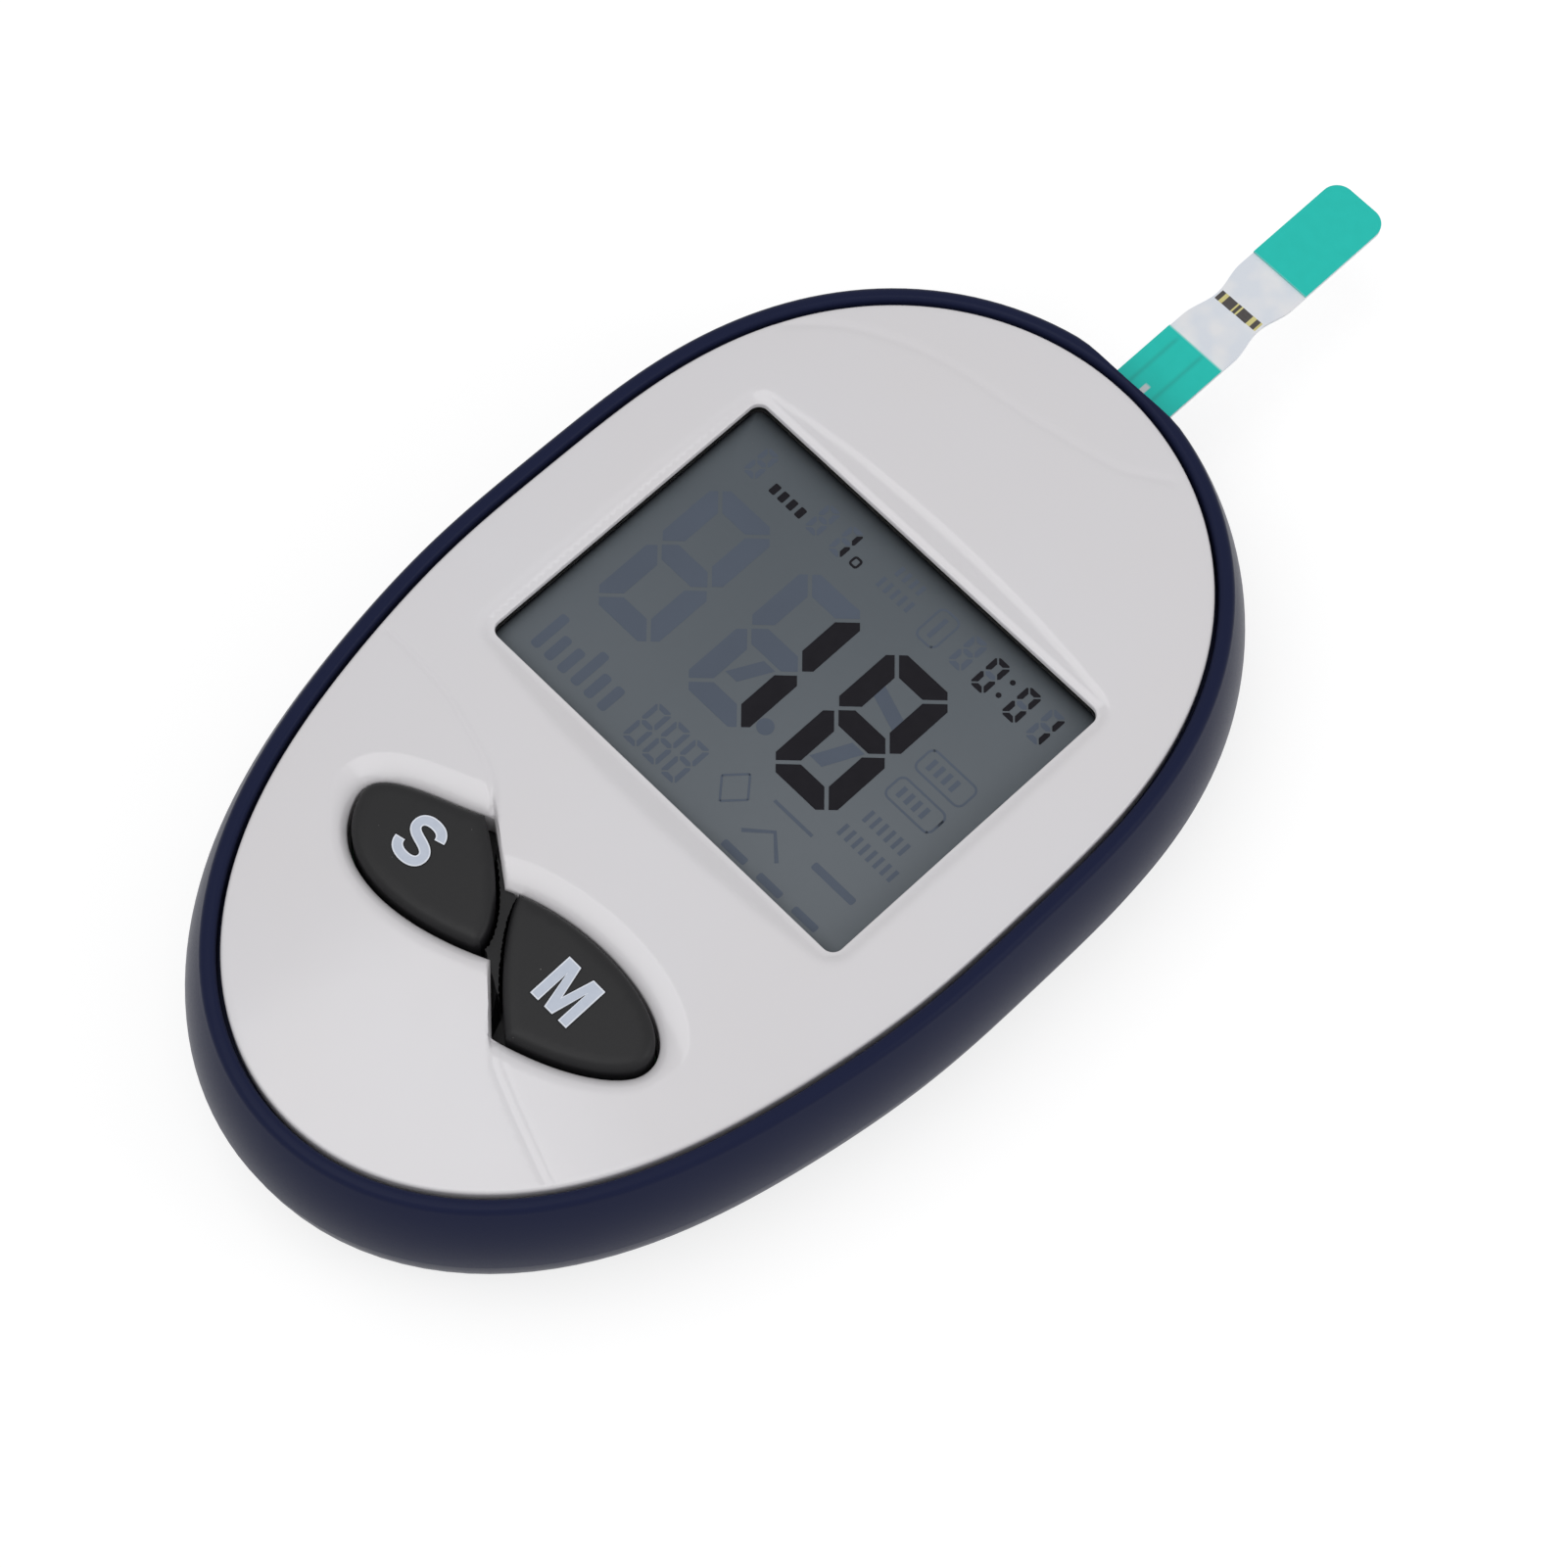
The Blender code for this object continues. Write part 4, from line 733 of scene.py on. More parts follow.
def staggered(across, along, pitch, row_pitch):
    """A net of points between two places each way, with every second row moved by half a pitch."""
    rows = []
    for k, y in enumerate(np.arange(*along, row_pitch)):
        x = np.arange(*across, pitch) + pitch / 2 * (k % 2)
        rows.append(np.column_stack([x, np.full(len(x), y)]))
    return np.vstack(rows)


# The net is close along every edge and pressed line and round the petals, and wider elsewhere
guides = [plan_ring(-inset, 384) for inset in (0.03, 0.09, 0.18, 0.3)]
guides += [window_loop(margin) for margin in (0.02, 0.06, 0.12, 0.2, 0.3)]
guides += [grown(opening, margin) for margin in (0.015, 0.05, 0.12)]
for _, corner, line, across in waist_edges:
    for past in (0.0, 0.1, 0.2, 0.3):
        guides += lone([corner - line * along + across * past for along in np.arange(0.2, 2.6, 0.2)])
for line, _, width in pressed_lines:
    across = left_of(np.gradient(line, axis=0))
    for share in (-1.6, -1.0, -0.5, 0.0, 0.5, 1.0, 1.6):
        guides += lone(line + across * width * share)
NET = 0.46
grid = staggered((-31, 31), (-48, 46), NET, NET * 0.866)
free = (rim_gap(grid) > 0.55) & (window_gap(grid) > 0.45)
free &= ~inside(grid, opening) & (loop_gap(grid, opening) > 0.25)
for line, _, width in pressed_lines:
    free &= loop_gap(grid, line, False) > width * 1.6 + 0.15
guides += lone(grid[free])
grid = staggered((-20, 20), (-34, -16), 0.24, 0.21)
near = loop_gap(grid, opening)
guides += lone(grid[(near > 0.2) & (near < 2.6) & ~inside(grid, opening)])


def dust(place, scale):
    """Distance to the nearest of some scattered points, and that point's own random number."""
    cells = {"Vector": place, "Scale": scale}
    gap = place.node("ShaderNodeTexVoronoi", {}, cells)
    pick = place.node("ShaderNodeTexVoronoi", {}, cells, "Color")
    return gap, pick.node("ShaderNodeSeparateColor", {}, {0: pick})


def glossy_white():
    """High-gloss white: nearly flat colour, faint waviness from the mould and a few specks of dust."""
    finish, place = start_finish("gloss_white", rgb(216, 214, 217), 0.16)
    warm, cool = shade(rgb(217, 214, 216), 0.985), shade(rgb(215, 214, 218), 1.015)
    tone = paint(noise(place, 0.06, 2.0), warm, cool)
    gap, pick = dust(place, 0.22)
    speck = gap.math("LESS_THAN", 0.022) * pick.math("GREATER_THAN", 0.62)
    feed(finish, "Base Color", paint(speck * 0.45, tone, rgb(120, 112, 104)))
    feed(finish, "Roughness", noise(place, 0.35, 5.0) * 0.10 + 0.11)
    wave = noise(place, 0.22, 1.0) + noise(place, 3.0, 2.0) * 0.06
    emboss(finish, wave, 0.018, 0.6)
    return finish


holes = [window_loop(0.0), opening]
cover = sheet_between("cover_shell", plan_ring(0.0, 384), holes, guides, cover_top, cover_bottom)
settle(cover, "meter", ["front_cover"], "white_cover", sharp=50, finish=glossy_white())


# Display.
# A clear window, a black rubber ring and the display glass lie on each other under the cover's lip.
# Unlit segments show faintly against the grey, and lit ones are nearly black.

GLASS_TOP = 17.1
# Painted shade over the display grey: where the grey is palest, measured from the meter's own origin, and how
# far it takes to darken towards the upper and left sides, where the bezel's shade falls
PALE_Y, PALE_X, DARKER_OVER_Y, DARKER_OVER_X = -33.6, 19.7, 50.0, 66.0


def dress(nodes, finish):
    for name in nodes:
        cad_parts[name].material_slots[0].material = finish


def clear_sheet():
    """Clear acrylic: it only mirrors, more at a slant, and lets the rest through."""
    finish, place = start_finish("clear_acrylic", (1.0, 1.0, 1.0, 1.0), 0.05, 1.0)
    slant = place.node("ShaderNodeLayerWeight", {}, {"Blend": 0.5}, "Facing")
    feed(finish, "Roughness", noise(place, 0.3, 4.0) * 0.05 + 0.02)
    feed(finish, "Alpha", slant.math("POWER", 5.0) * 0.5)
    return finish


dress(["display_window"], clear_sheet())
dress(["display_gasket"], moulded("ring_rubber", rgb(20, 20, 21), 0.6, grain=0.01))

glass, place = start_finish("display_grey", rgb(112, 121, 127), 0.45, Specular_IOR_Level=0.0)
cloud, across, along = noise(place, 0.05, 1.0), part(place, 0), part(place, 1)
# Painted shade: the grey darkens towards the upper and left sides of the window
painted_shade_share = ((along - PALE_Y) / DARKER_OVER_Y + (PALE_X - across) / DARKER_OVER_X).clamped()
pale = paint(cloud, rgb(104, 110, 115), rgb(112, 117, 122))
tone = paint(painted_shade_share, pale, paint(cloud, rgb(90, 96, 101), rgb(97, 103, 109)))
# The shade of the cover's lip along the upper and the left edge
upper = ((along - (WINDOW_Y + WINDOW_LENGTH_HALF - ORIGIN_Y)) / 0.85).math("EXPONENT") * 0.9
left = ((-WINDOW_HALF - across) / 0.40).math("EXPONENT") * 0.9
feed(glass, "Base Color", paint(upper.math("MAXIMUM", left).math("MINIMUM", 1.0), tone, rgb(22, 24, 27)))
feed(glass, "Roughness", noise(place, 0.8, 3.0) * 0.1 + 0.40)
dress(["lcd_panel"], glass)


def digit(centre, width, height, bar, gap):
    """Seven bars of a digit as loops, by their usual letters."""
    half, cut, chamfer, tip = height / 2, gap * 0.707, bar * 0.65, bar * 0.33
    near, far = (chamfer - cut) / 2, (chamfer + cut) / 2
    top = [(far, near), (chamfer, 0), (width - chamfer, 0), (width - far, near)]
    top += [(width - bar - cut, bar), (bar + cut, bar)]
    low = half - gap * 0.8
    side = [(near, far), (bar, bar + cut), (bar, low - (bar - tip)), (tip, low), (0, low - tip), (0, chamfer)]
    start, end = tip + gap * 0.6, tip + gap * 0.6 + bar / 2
    middle = [(start, half), (end, half - bar / 2), (width - end, half - bar / 2)]
    middle += [(width - start, half), (width - end, half + bar / 2), (end, half + bar / 2)]

    def turned(loop, left, up):
        x, y = centre[0] - width / 2, centre[1] + half
        return [(x + (u if left else width - u), y - (v if up else height - v)) for u, v in loop]

    return {
        "a": turned(top, True, True), "b": turned(side, False, True), "c": turned(side, False, False),
        "d": turned(top, True, False), "e": turned(side, True, False), "f": turned(side, True, True),
        "g": turned(middle, True, True),
    }


def stroke(points, width, closed=False):
    """Loops of a line of even width: one for an open line, one for each stretch of a closed one."""
    points = np.asarray(points, float)
    if closed:
        inner, outer = grown(points, -width / 2), grown(points, width / 2)
        count = len(points)
        return [[outer[i], outer[(i + 1) % count], inner[(i + 1) % count], inner[i]] for i in range(count)]
    side = left_of(np.gradient(points, axis=0)) * width / 2
    return [[*(points + side), *(points - side)[::-1]]]


def plates(name, loops, low, high, finish, body, **settings):
    """Thin flat pieces, each over its own loop, as one mesh."""
    points, faces = [], []
    for loop in loops:
        more_points, more_faces = solid_over(loop, low, high, len(points))
        points += more_points
        faces += more_faces
    settle(link(name, mesh_of(name, points, faces)), body, finish=finish, merge=0.00001, **settings)


def printed(name, low, high, roughness=0.45, scale=3.0, detail=2.0, **uniform):
    """Printed ink, a little uneven, between two shades."""
    finish, place = start_finish(name, low, roughness, **uniform)
    feed(finish, "Base Color", paint(noise(place, scale, detail), low, high))
    return finish


LIT = {0: "abcdef", 1: "bc", 8: "abcdefg", None: ""}
BIG = dict(width=7.05, height=15.0, bar=1.93, gap=0.36)
DATE = dict(width=1.45, height=3.05, bar=0.44, gap=0.15)
CLOCK = dict(width=1.6, height=3.4, bar=0.48, gap=0.16)
CODE = dict(DATE, width=1.7, height=4.2)
lit, unlit = [], []
for x, y, number, size in (
    (-13.5, 8.1, None, BIG), (-3.0, 8.1, 1, BIG), (7.05, 8.1, 8, BIG),
    (-15.9, 19.2, None, DATE), (-8.7, 19.2, None, DATE), (-6.0, 19.2, 1, DATE),
    (8.0, 19.3, None, CLOCK), (10.65, 19.2, 0, CLOCK), (14.25, 19.15, 0, CLOCK), (16.95, 19.15, 1, CLOCK),
    (-5.3, -4.0, None, CODE), (-3.1, -4.0, None, CODE), (-0.9, -4.0, None, CODE),
):
    for letter, loop in digit((x, y), **size).items():
        (lit if letter in LIT[number] else unlit).append(loop)
# Lit: the colon, four bars and a small ring
lit += [circle(12.36, 20.05, 0.24, 16), circle(12.34, 18.42, 0.24, 16)]
lit += [rectangle(x, 17.85, x + 0.62, 18.85, 0.12) for x in (-13.75, -12.75, -11.75, -10.75)]
lit += stroke(rectangle(-4.45, 18.05, -3.75, 18.85, 0.2), 0.2, True)
# Unlit: the point, slanted bars inside the digits, framed bars, a diamond, rows of bars and a few signs
unlit += [circle(1.35, 2.8, 0.75, 24)]
unlit += [[(5.3, 12.4), (8.8, 11.2), (8.8, 9.9), (5.3, 11.1)], [(5.6, 3.6), (7.2, 6.9), (8.6, 6.9), (7.0, 3.6)]]
unlit += [[(-4.4, 3.9), (-2.9, 6.8), (-1.6, 6.8), (-3.1, 3.9)]]
for x0, y0, x1, y1 in ((12.0, 8.95, 17.2, 11.3), (12.0, 5.55, 17.1, 7.85), (3.7, 17.4, 5.8, 20.8)):
    unlit += stroke(rectangle(x0, y0, x1, y1, 0.6, 5), 0.2, True)
    unlit += [rectangle(x, y0 + 0.6, x + 0.42, y1 - 0.6) for x in np.arange(x0 + 0.8, x1 - 1.0, 0.85)]
diamond = [(3.5, -4.4), (5.0, -2.7), (3.5, -1.0), (2.0, -2.7)]
unlit += [stroke([diamond[i - 1], diamond[i]], 0.2)[0] for i in range(4)]
for x0, x1, y0, y1 in (
    (12.5, 17.0, 2.65, 3.9), (11.9, 17.7, 0.4, 1.6), (-1.2, 1.9, 20.0, 21.0), (-1.6, 1.8, 18.2, 19.3),
):
    unlit += [rectangle(x, y0, x + 0.36, y1) for x in np.arange(x0, x1, 0.8)]
for i, x in enumerate(np.arange(-17.2, -8.6, 1.55)):
    unlit += [rectangle(x, -5.8, x + 0.9, -2.0 if i % 3 == 0 else -3.2, 0.3)]
unlit += [rectangle(x, -7.0, x + 2.6, -6.3, 0.2) for x in (6.2, 10.2, 14.2)]
unlit += [rectangle(12.6, -3.2, 17.2, -2.5, 0.2)]
unlit += stroke([(6.5, -4.9), (8.5, -3.1), (10.5, -4.9)], 0.35) + stroke([(6.5, -1.2), (10.8, -1.2)], 0.3)

no_shine = {"Specular_IOR_Level": 0.0}
faint = printed("unlit_segment", rgb(85, 92, 104), rgb(91, 99, 112), scale=0.12, **no_shine)
dark = printed("lit_segment", rgb(36, 35, 39), rgb(41, 40, 44), scale=0.9, **no_shine)
for name, loops, high, finish in (("unlit_segments", unlit, 0.012, faint), ("lit_segments", lit, 0.03, dark)):
    plates(name, loops, GLASS_TOP - 0.02, GLASS_TOP + high, finish, "meter", slot="display_glass")


# Buttons.
# Two petals of black silicone rubber on one mat, each with a moulded letter filled with pale ink.
# A low web of the same rubber shows between them.

PETAL_GAP, PETAL_PROUD, PETAL_ROUND, PETAL_UNDER, PRINT_SUNK = 0.35, 0.4, 0.8, 15.4, 0.05


def matt_rubber():
    """Satin black silicone with a fine grain, a soft sheen and specks of dust on it."""
    black = rgb(18, 18, 20)
    finish, place = start_finish("petal_rubber", black, 0.5, Specular_IOR_Level=0.28)
    tone = paint(noise(place, 0.3, 3.0), shade(black, 0.92), shade(black, 1.08))
    gap, pick = dust(place, 0.75)
    speck = gap.math("LESS_THAN", pick * 0.06 - 0.012)
    feed(finish, "Base Color", paint(speck * 0.5, tone, rgb(120, 118, 116)))
    fine = noise(place, 9.0, 4.0)
    feed(finish, "Roughness", fine * 0.16 + 0.42)
    emboss(finish, fine, 0.008)
    return finish


def net_in(loop, pitch, margin):
    """Points of a square net inside a loop, clear of it by a margin."""
    x, y = (np.arange(low, high, pitch) for low, high in zip(loop.min(0), loop.max(0)))
    grid = np.array([(u, v) for u in x for v in y])
    grid = grid[inside(grid, loop)]
    return lone(grid[loop_gap(grid, loop) > margin])


def level(height):
    return lambda points: np.full(len(points), height)


rubber = matt_rubber()

# The mat lies under the cover with a well round each petal, and its web stands up between the two
MAT_UNDER, MAT_TOP, MAT_MARGIN, WELL_GAP, WEB_DROP, WEB_EDGE = 13.55, 16.15, 0.6, 0.2, 1.2, 0.245
WEB_TOP = float(dome(np.array([[PAD_X, PAD_Y]]))[0]) - WEB_DROP
web = np.vstack([petal_cut(side) for side in (1, -1)])


def mat_top(points):
    return np.where(inside(points, web) & (loop_gap(points, web) > WEB_EDGE), WEB_TOP, MAT_TOP)


wells = [petal_outline(side, WELL_GAP) for side in (1, -1)]
net = [spot for gap in (0.22, 0.27) for spot in lone(grown(web, -gap))] + net_in(web, 0.12, 0.3)
mat = sheet_between("mat_sheet", grown(opening, MAT_MARGIN), wells, net, mat_top, level(MAT_UNDER))
settle(mat, "meter", ["keypad_mat"], "black_rubber", finish=rubber)


def lengthened(points, length):
    """A line made longer by the same amount at both ends."""
    ends = [end + unit(end - inner) * length for end, inner in (points[:2], points[:-3:-1])]
    return np.vstack([ends[0], points[1:-1], ends[1]])


S_CURVES = [
    (1.24, 0.98), (1.12, 1.52), (0.70, 1.78), (0.02, 1.78), (-0.72, 1.78), (-1.16, 1.46), (-1.16, 0.96),
    (-1.16, 0.42), (-0.66, 0.24), (0.03, 0.06), (0.78, -0.14), (1.26, -0.36), (1.26, -0.92), (1.26, -1.48),
    (0.76, -1.78), (0.04, -1.78), (-0.72, -1.78), (-1.22, -1.46), (-1.30, -0.86),
]
s_line = chained(S_CURVES, 6 * (12,))
half, cap, stem, shoulder = 2.0, 2.1, 0.86, 1.28
m_half = [
    (0.42, -cap), (half - stem, 0.98), (half - stem, -cap), (half, -cap), (half, cap), (half - shoulder, cap),
]
m_loop = [*((-x, y) for x, y in m_half), (0.0, -0.62), *m_half[::-1]]
letters = {
    "set": ((-9.4, -24.95), lambda grow: stroke(lengthened(s_line, grow), stem + 2 * grow)[0]),
    "memory": ((8.0, -25.35), lambda grow: grown(m_loop, grow)),
}
# A dark line round each letter, a pale rim and the pale letter: each grown by and raised by so much
layers = []
for label, ink, grow_by, lift, low, high in (
    ("edge", "letter_edge", 0.13, 0.015, rgb(7, 7, 9), rgb(12, 12, 14)),
    ("rim", "letter_rim", 0.02, 0.03, rgb(216, 221, 231), rgb(226, 230, 238)),
    ("letter", "letter_ink", -0.10, 0.04, rgb(184, 192, 207), rgb(196, 203, 216)),
):
    ink = printed(ink, low, high, scale=1.6, detail=3.0, Specular_IOR_Level=0.2)
    layers.append((label, grow_by, lift, ink))

for name, side in (("set", 1), ("memory", -1)):
    outline = petal_outline(side, PETAL_GAP)

    def petal_top(points, outline=outline):
        return dome(points) + PETAL_PROUD - rounded(loop_gap(points, outline), PETAL_ROUND)

    rings = [grown(outline, -PETAL_ROUND * share) for share in (0.02, 0.08, 0.18, 0.32, 0.5, 0.75)]
    net = rings + net_in(outline, 0.45, PETAL_ROUND + 0.2)
    petal = sheet_between(f"{name}_petal", outline, [], net, petal_top, level(PETAL_UNDER))
    body = f"{name}_button"
    settle(petal, body, [body], "black_rubber", finish=rubber)
    centre, letter = letters[name]
    for label, grow_by, lift, ink in layers:
        loop = np.asarray(letter(grow_by)) + centre
        low, high = (lambda p, rise=rise: petal_top(p) + rise for rise in (-PRINT_SUNK, lift))
        plates(f"{name}_{label}", [loop], low, high, ink, body)


# Test strip.
# A white plastic carrier with a narrowed waist, teal film over its two ends, and printed electrodes
# across the waist.

STRIP_Z, STRIP_INNER_Y, STRIP_TIP_Y, STRIP_HALF, STRIP_CORNER = 12.6, 40.9, 75.9, 3.05, 1.6
BARE_START, BARE_END, WAIST_REACH, WAIST_DEPTH = 55.1, 65.45, 3.6, 0.58
CARD_THICK, FILM_LOW, FILM_HIGH, FILM_INNER_Y, PRINT_LOW, PRINT_HIGH = 0.3, 0.31, 0.5, 42.5, 0.28, 0.31
PRINT_Y, PRINT_END_Y, PRINT_LEAN, PRINT_END_LEAN = 59.90, 60.92, 0.03, 0.02


def strip_half(y):
    share = np.clip(np.abs(y - (BARE_START + BARE_END) / 2) / WAIST_REACH, 0, 1)
    return STRIP_HALF - WAIST_DEPTH * np.cos(math.pi / 2 * share) ** 2


def strip_loop(start, end, rounded):
    last = end - (STRIP_CORNER if rounded else 0.0)
    y = np.linspace(start, last, max(2, int((last - start) / 0.2)))
    right = [*zip(strip_half(y), y)]
    if rounded:
        for i in range(1, 13):
            turn = math.pi / 2 * i / 12
            x = STRIP_HALF - STRIP_CORNER * (1 - math.cos(turn))
            right.append((x, last + STRIP_CORNER * math.sin(turn)))
    return right + [(-x, y) for x, y in reversed(right)]


def within(place, axis, low, high, soft=0.03):
    """A mask that is 1 between two places along one axis."""
    along = part(place, axis)
    rise, fall = (
        along.node("ShaderNodeMapRange", {}, {0: along, 1: end - soft, 2: end + soft}) for end in (low, high)
    )
    return rise * (1 - fall)


def band(place, x, y, soft_x=0.03, soft_y=0.03):
    """A mask over a rectangle of the strip, with its ends in the meter's own millimetres."""
    return within(place, 0, *x, soft_x) * within(place, 1, y[0] - ORIGIN_Y, y[1] - ORIGIN_Y, soft_y)


card, place = start_finish("strip_card", rgb(228, 229, 234), 0.38, Specular_IOR_Level=0.25)
stain = ((noise(place, 0.45, 1.5) - 0.42) * 4.0).clamped()
tone = paint(stain, rgb(221, 226, 234), rgb(232, 233, 236))
for x in (-1.85, 0.0, 1.85):
    tone = paint(band(place, (x - 0.55, x + 0.55), (41.2, 44.0)), tone, rgb(60, 55, 54))
feed(card, "Base Color", tone)
feed(card, "Roughness", noise(place, 2.5, 3.0) * 0.12 + 0.30)
teal_film, place = start_finish("teal_film", rgb(34, 194, 181), 0.34, Specular_IOR_Level=0.25)
tone = paint(noise(place, 0.9, 3.0), rgb(30, 191, 178), rgb(36, 199, 187))
for x, y in ((-1.65, (40.0, 54.6)), (0.97, (40.0, 54.9))):
    tone = paint(band(place, (x - 0.16, x + 0.16), y, 0.16, 0.4) * 0.55, tone, rgb(38, 160, 150))
tone = paint(band(place, (-0.52, 0.02), (46.0, 49.55), 0.05, 0.12), tone, rgb(196, 206, 208))
whole = (-2 * STRIP_HALF, 2 * STRIP_HALF)
cut_end = band(place, whole, (54.98, 55.2)) + band(place, whole, (65.3, 65.5)) * 0.6
feed(teal_film, "Base Color", paint(cut_end * 0.6, tone, rgb(170, 224, 220)))
feed(teal_film, "Roughness", noise(place, 3.0, 3.0) * 0.14 + 0.26)

card_layer, film_layer = (0.0, CARD_THICK, card, "strip_white"), (FILM_LOW, FILM_HIGH, teal_film, "strip_teal")
for name, node, ends, (low, high, finish, slot) in (
    ("strip_card", "strip_base", (STRIP_INNER_Y, STRIP_TIP_Y, True), card_layer),
    ("strip_film_inner", "strip_lower_film", (FILM_INNER_Y, BARE_START, False), film_layer),
    ("strip_film_handle", "strip_handle_film", (BARE_END, STRIP_TIP_Y, True), film_layer),
):
    low, high = STRIP_Z + low, STRIP_Z + high
    plates(name, [strip_loop(*ends)], low, high, finish, "test_strip", replaces=[node], slot=slot)

dark_print = printed("dark_print", rgb(48, 44, 44), rgb(78, 72, 70))
gold_print = printed("gold_print", rgb(198, 188, 118), rgb(216, 208, 142), 0.35)
# Dark and gold bars in turn across the waist, from one edge of the print to the other
bar_ends = (-2.28, -1.87, -1.50, -0.50, -0.34, -0.05, 0.12, 1.24, 1.66, 2.10, 2.30)
for first, (label, finish) in enumerate((("dark", dark_print), ("gold", gold_print))):
    pairs = [*zip(bar_ends, bar_ends[1:])][first::2]
    loops = [rectangle(x0, PRINT_Y + x0 * PRINT_LEAN, x1, PRINT_END_Y + x0 * PRINT_END_LEAN) for x0, x1 in pairs]
    low, high = STRIP_Z + PRINT_LOW, STRIP_Z + PRINT_HIGH
    plates(f"electrodes_{label}", loops, low, high, finish, "test_strip", slot="strip_white")


# Strip socket.
# A black plastic socket on the board takes the strip. Three gold-plated spring contacts press on the
# strip's printed lines.

black_plastic = moulded("socket_plastic", rgb(26, 26, 28), 0.42, grain=0.008)
dress(["strip_connector", "lcd_frame"], black_plastic)


def plated(name, colour, roughness, streak=(0.4, 6.0, 6.0)):
    """Metal with the fine streaks that it was rolled or drawn with."""
    finish, place = start_finish(name, colour, roughness, 1.0)
    drawn = place.node("ShaderNodeVectorMath", {"operation": "MULTIPLY"}, {0: place, 1: streak})
    fine = noise(drawn, 2.0, 3.0)
    feed(finish, "Base Color", paint(fine, shade(colour, 0.86), shade(colour, 1.08)))
    feed(finish, "Roughness", fine * 0.18 + (roughness - 0.09))
    return finish


gold = plated("contact_gold", rgb(226, 188, 110), 0.28)
dress([f"strip_contact_{i}" for i in (1, 2, 3)], gold)


# Circuit board.
# Green glass-fibre board with copper tracks under the lacquer. The chips, the crystal, the buzzer
# and the two switch domes are soldered to it, and striped rubber connects it to the display.

board_finish, place = start_finish("board_lacquer", rgb(18, 92, 58), 0.35)
warp = place.node("ShaderNodeVectorMath", {"operation": "SCALE"}, {0: place, "Scale": 0.55})
cells = warp.node("ShaderNodeTexVoronoi", {"distance": "MANHATTAN"}, {"Vector": warp, "Scale": 0.5})
track = (cells * 6.0).math("FRACT").math("LESS_THAN", 0.30)
via = warp.node("ShaderNodeTexVoronoi", {}, {"Vector": warp, "Scale": 0.9}).math("LESS_THAN", 0.22)
tone = paint(noise(place, 0.4, 3.0), rgb(14, 84, 52), rgb(22, 100, 64))
tone = paint(via, paint(track, tone, rgb(46, 132, 84)), rgb(206, 172, 96))
feed(board_finish, "Base Color", tone)
emboss(board_finish, track, 0.03)
dress(["main_board"], board_finish)

spring_steel = plated("spring_steel", rgb(186, 188, 192), 0.26)
resin = moulded("chip_resin", rgb(30, 30, 32), 0.55, grain=0.012, grain_scale=9.0)
dress(["controller_chip", "memory_chip"], resin)
dress(["quartz_crystal"], plated("tin_can", rgb(200, 200, 198), 0.3))
dress(["buzzer"], black_plastic)
dress(["set_switch_dome", "memory_switch_dome"], spring_steel)
zebra, place = start_finish("striped_rubber", rgb(60, 60, 62), 0.6)
wave = place.node("ShaderNodeTexWave", {"bands_direction": "X"}, {"Vector": place, "Scale": 1.6})
stripe = wave.math("GREATER_THAN", 0.5)
feed(zebra, "Base Color", paint(stripe, rgb(196, 190, 184), rgb(24, 24, 26)))
dress(["elastomer_connector_upper", "elastomer_connector_lower"], zebra)


# Battery door.
# A navy plate that slides out of the back towards the lower end, on a tongue along each side. Four
# grooves near its upper end give the thumb a hold.

row, given = new_tree("row", {"Count": "Int", "Step": "Vector", "Finish": "Material"})
count, step = given["Count"], given["Step"]
line = count.node("GeometryNodeMeshLine", {"mode": "OFFSET"}, {"Count": count, "Offset": step})
copies = line.node("GeometryNodeInstanceOnPoints", {}, {"Points": line, "Instance": given["Geometry"]})
end_tree(row, copies, given["Finish"])

door_profile = []
for t in np.linspace(0.02, math.radians(50), 16):
    across, down = TURN_HEIGHT * math.sin(t), TURN_WIDTH * math.cos(t)
    share = DOOR_RECESS / math.hypot(across, down)
    offset, height = TURN_START + TURN_WIDTH * math.sin(t), TURN_HEIGHT * (1 - math.cos(t))
    door_profile.append((offset - across * share, height + down * share))
door = follow_plan("door", door_profile, 192, navy_plastic)
high, half, wide = DOOR_RECESS + DOOR_THICKNESS, DOOR_HALF_WIDTH, DOOR_HALF_WIDTH + TONGUE_WIDTH
section = [(half, 0.0), (half, TONGUE_LOW), (wide, TONGUE_LOW), (wide, high)]
rail = prism([*section, *((-x, z) for x, z in reversed(section))], -DOOR_UPPER_Y, 60.0)
rail.transform(Matrix.Rotation(math.pi / 2, 4, "X"))
door = carve(door, [rail], "INTERSECT")
thumb_bar = prism(rectangle(-6.0, 3.65, 6.0, 4.35, 0.34), -3.0, 0.55)
grip = grow("grip", thumb_bar, row, count=4, step=(0.0, 1.6, 0.0), finish=navy_plastic)
cuts = [grip.data]
bpy.data.objects.remove(grip)
for x in (half + 0.9, -half - 0.9):
    cuts.append(prism(rectangle(x - 0.87, 11.6, x + 0.87, 20.0), -1.0, 3.0))
door = soften(carve(door, cuts), 0.1)
settle(door, "battery_door", ["battery_door"], "navy_housing", finish=navy_plastic, weighted=True)


# Batteries.
# Two AAA cells side by side, one each way round: a steel can in a printed sleeve, with a button at one
# end and a ring groove in the flat end.

SLEEVE_FROM, RING_FROM, COPPER_FROM, SLEEVE_TO = 0.5, 30.0, 30.7, 43.05


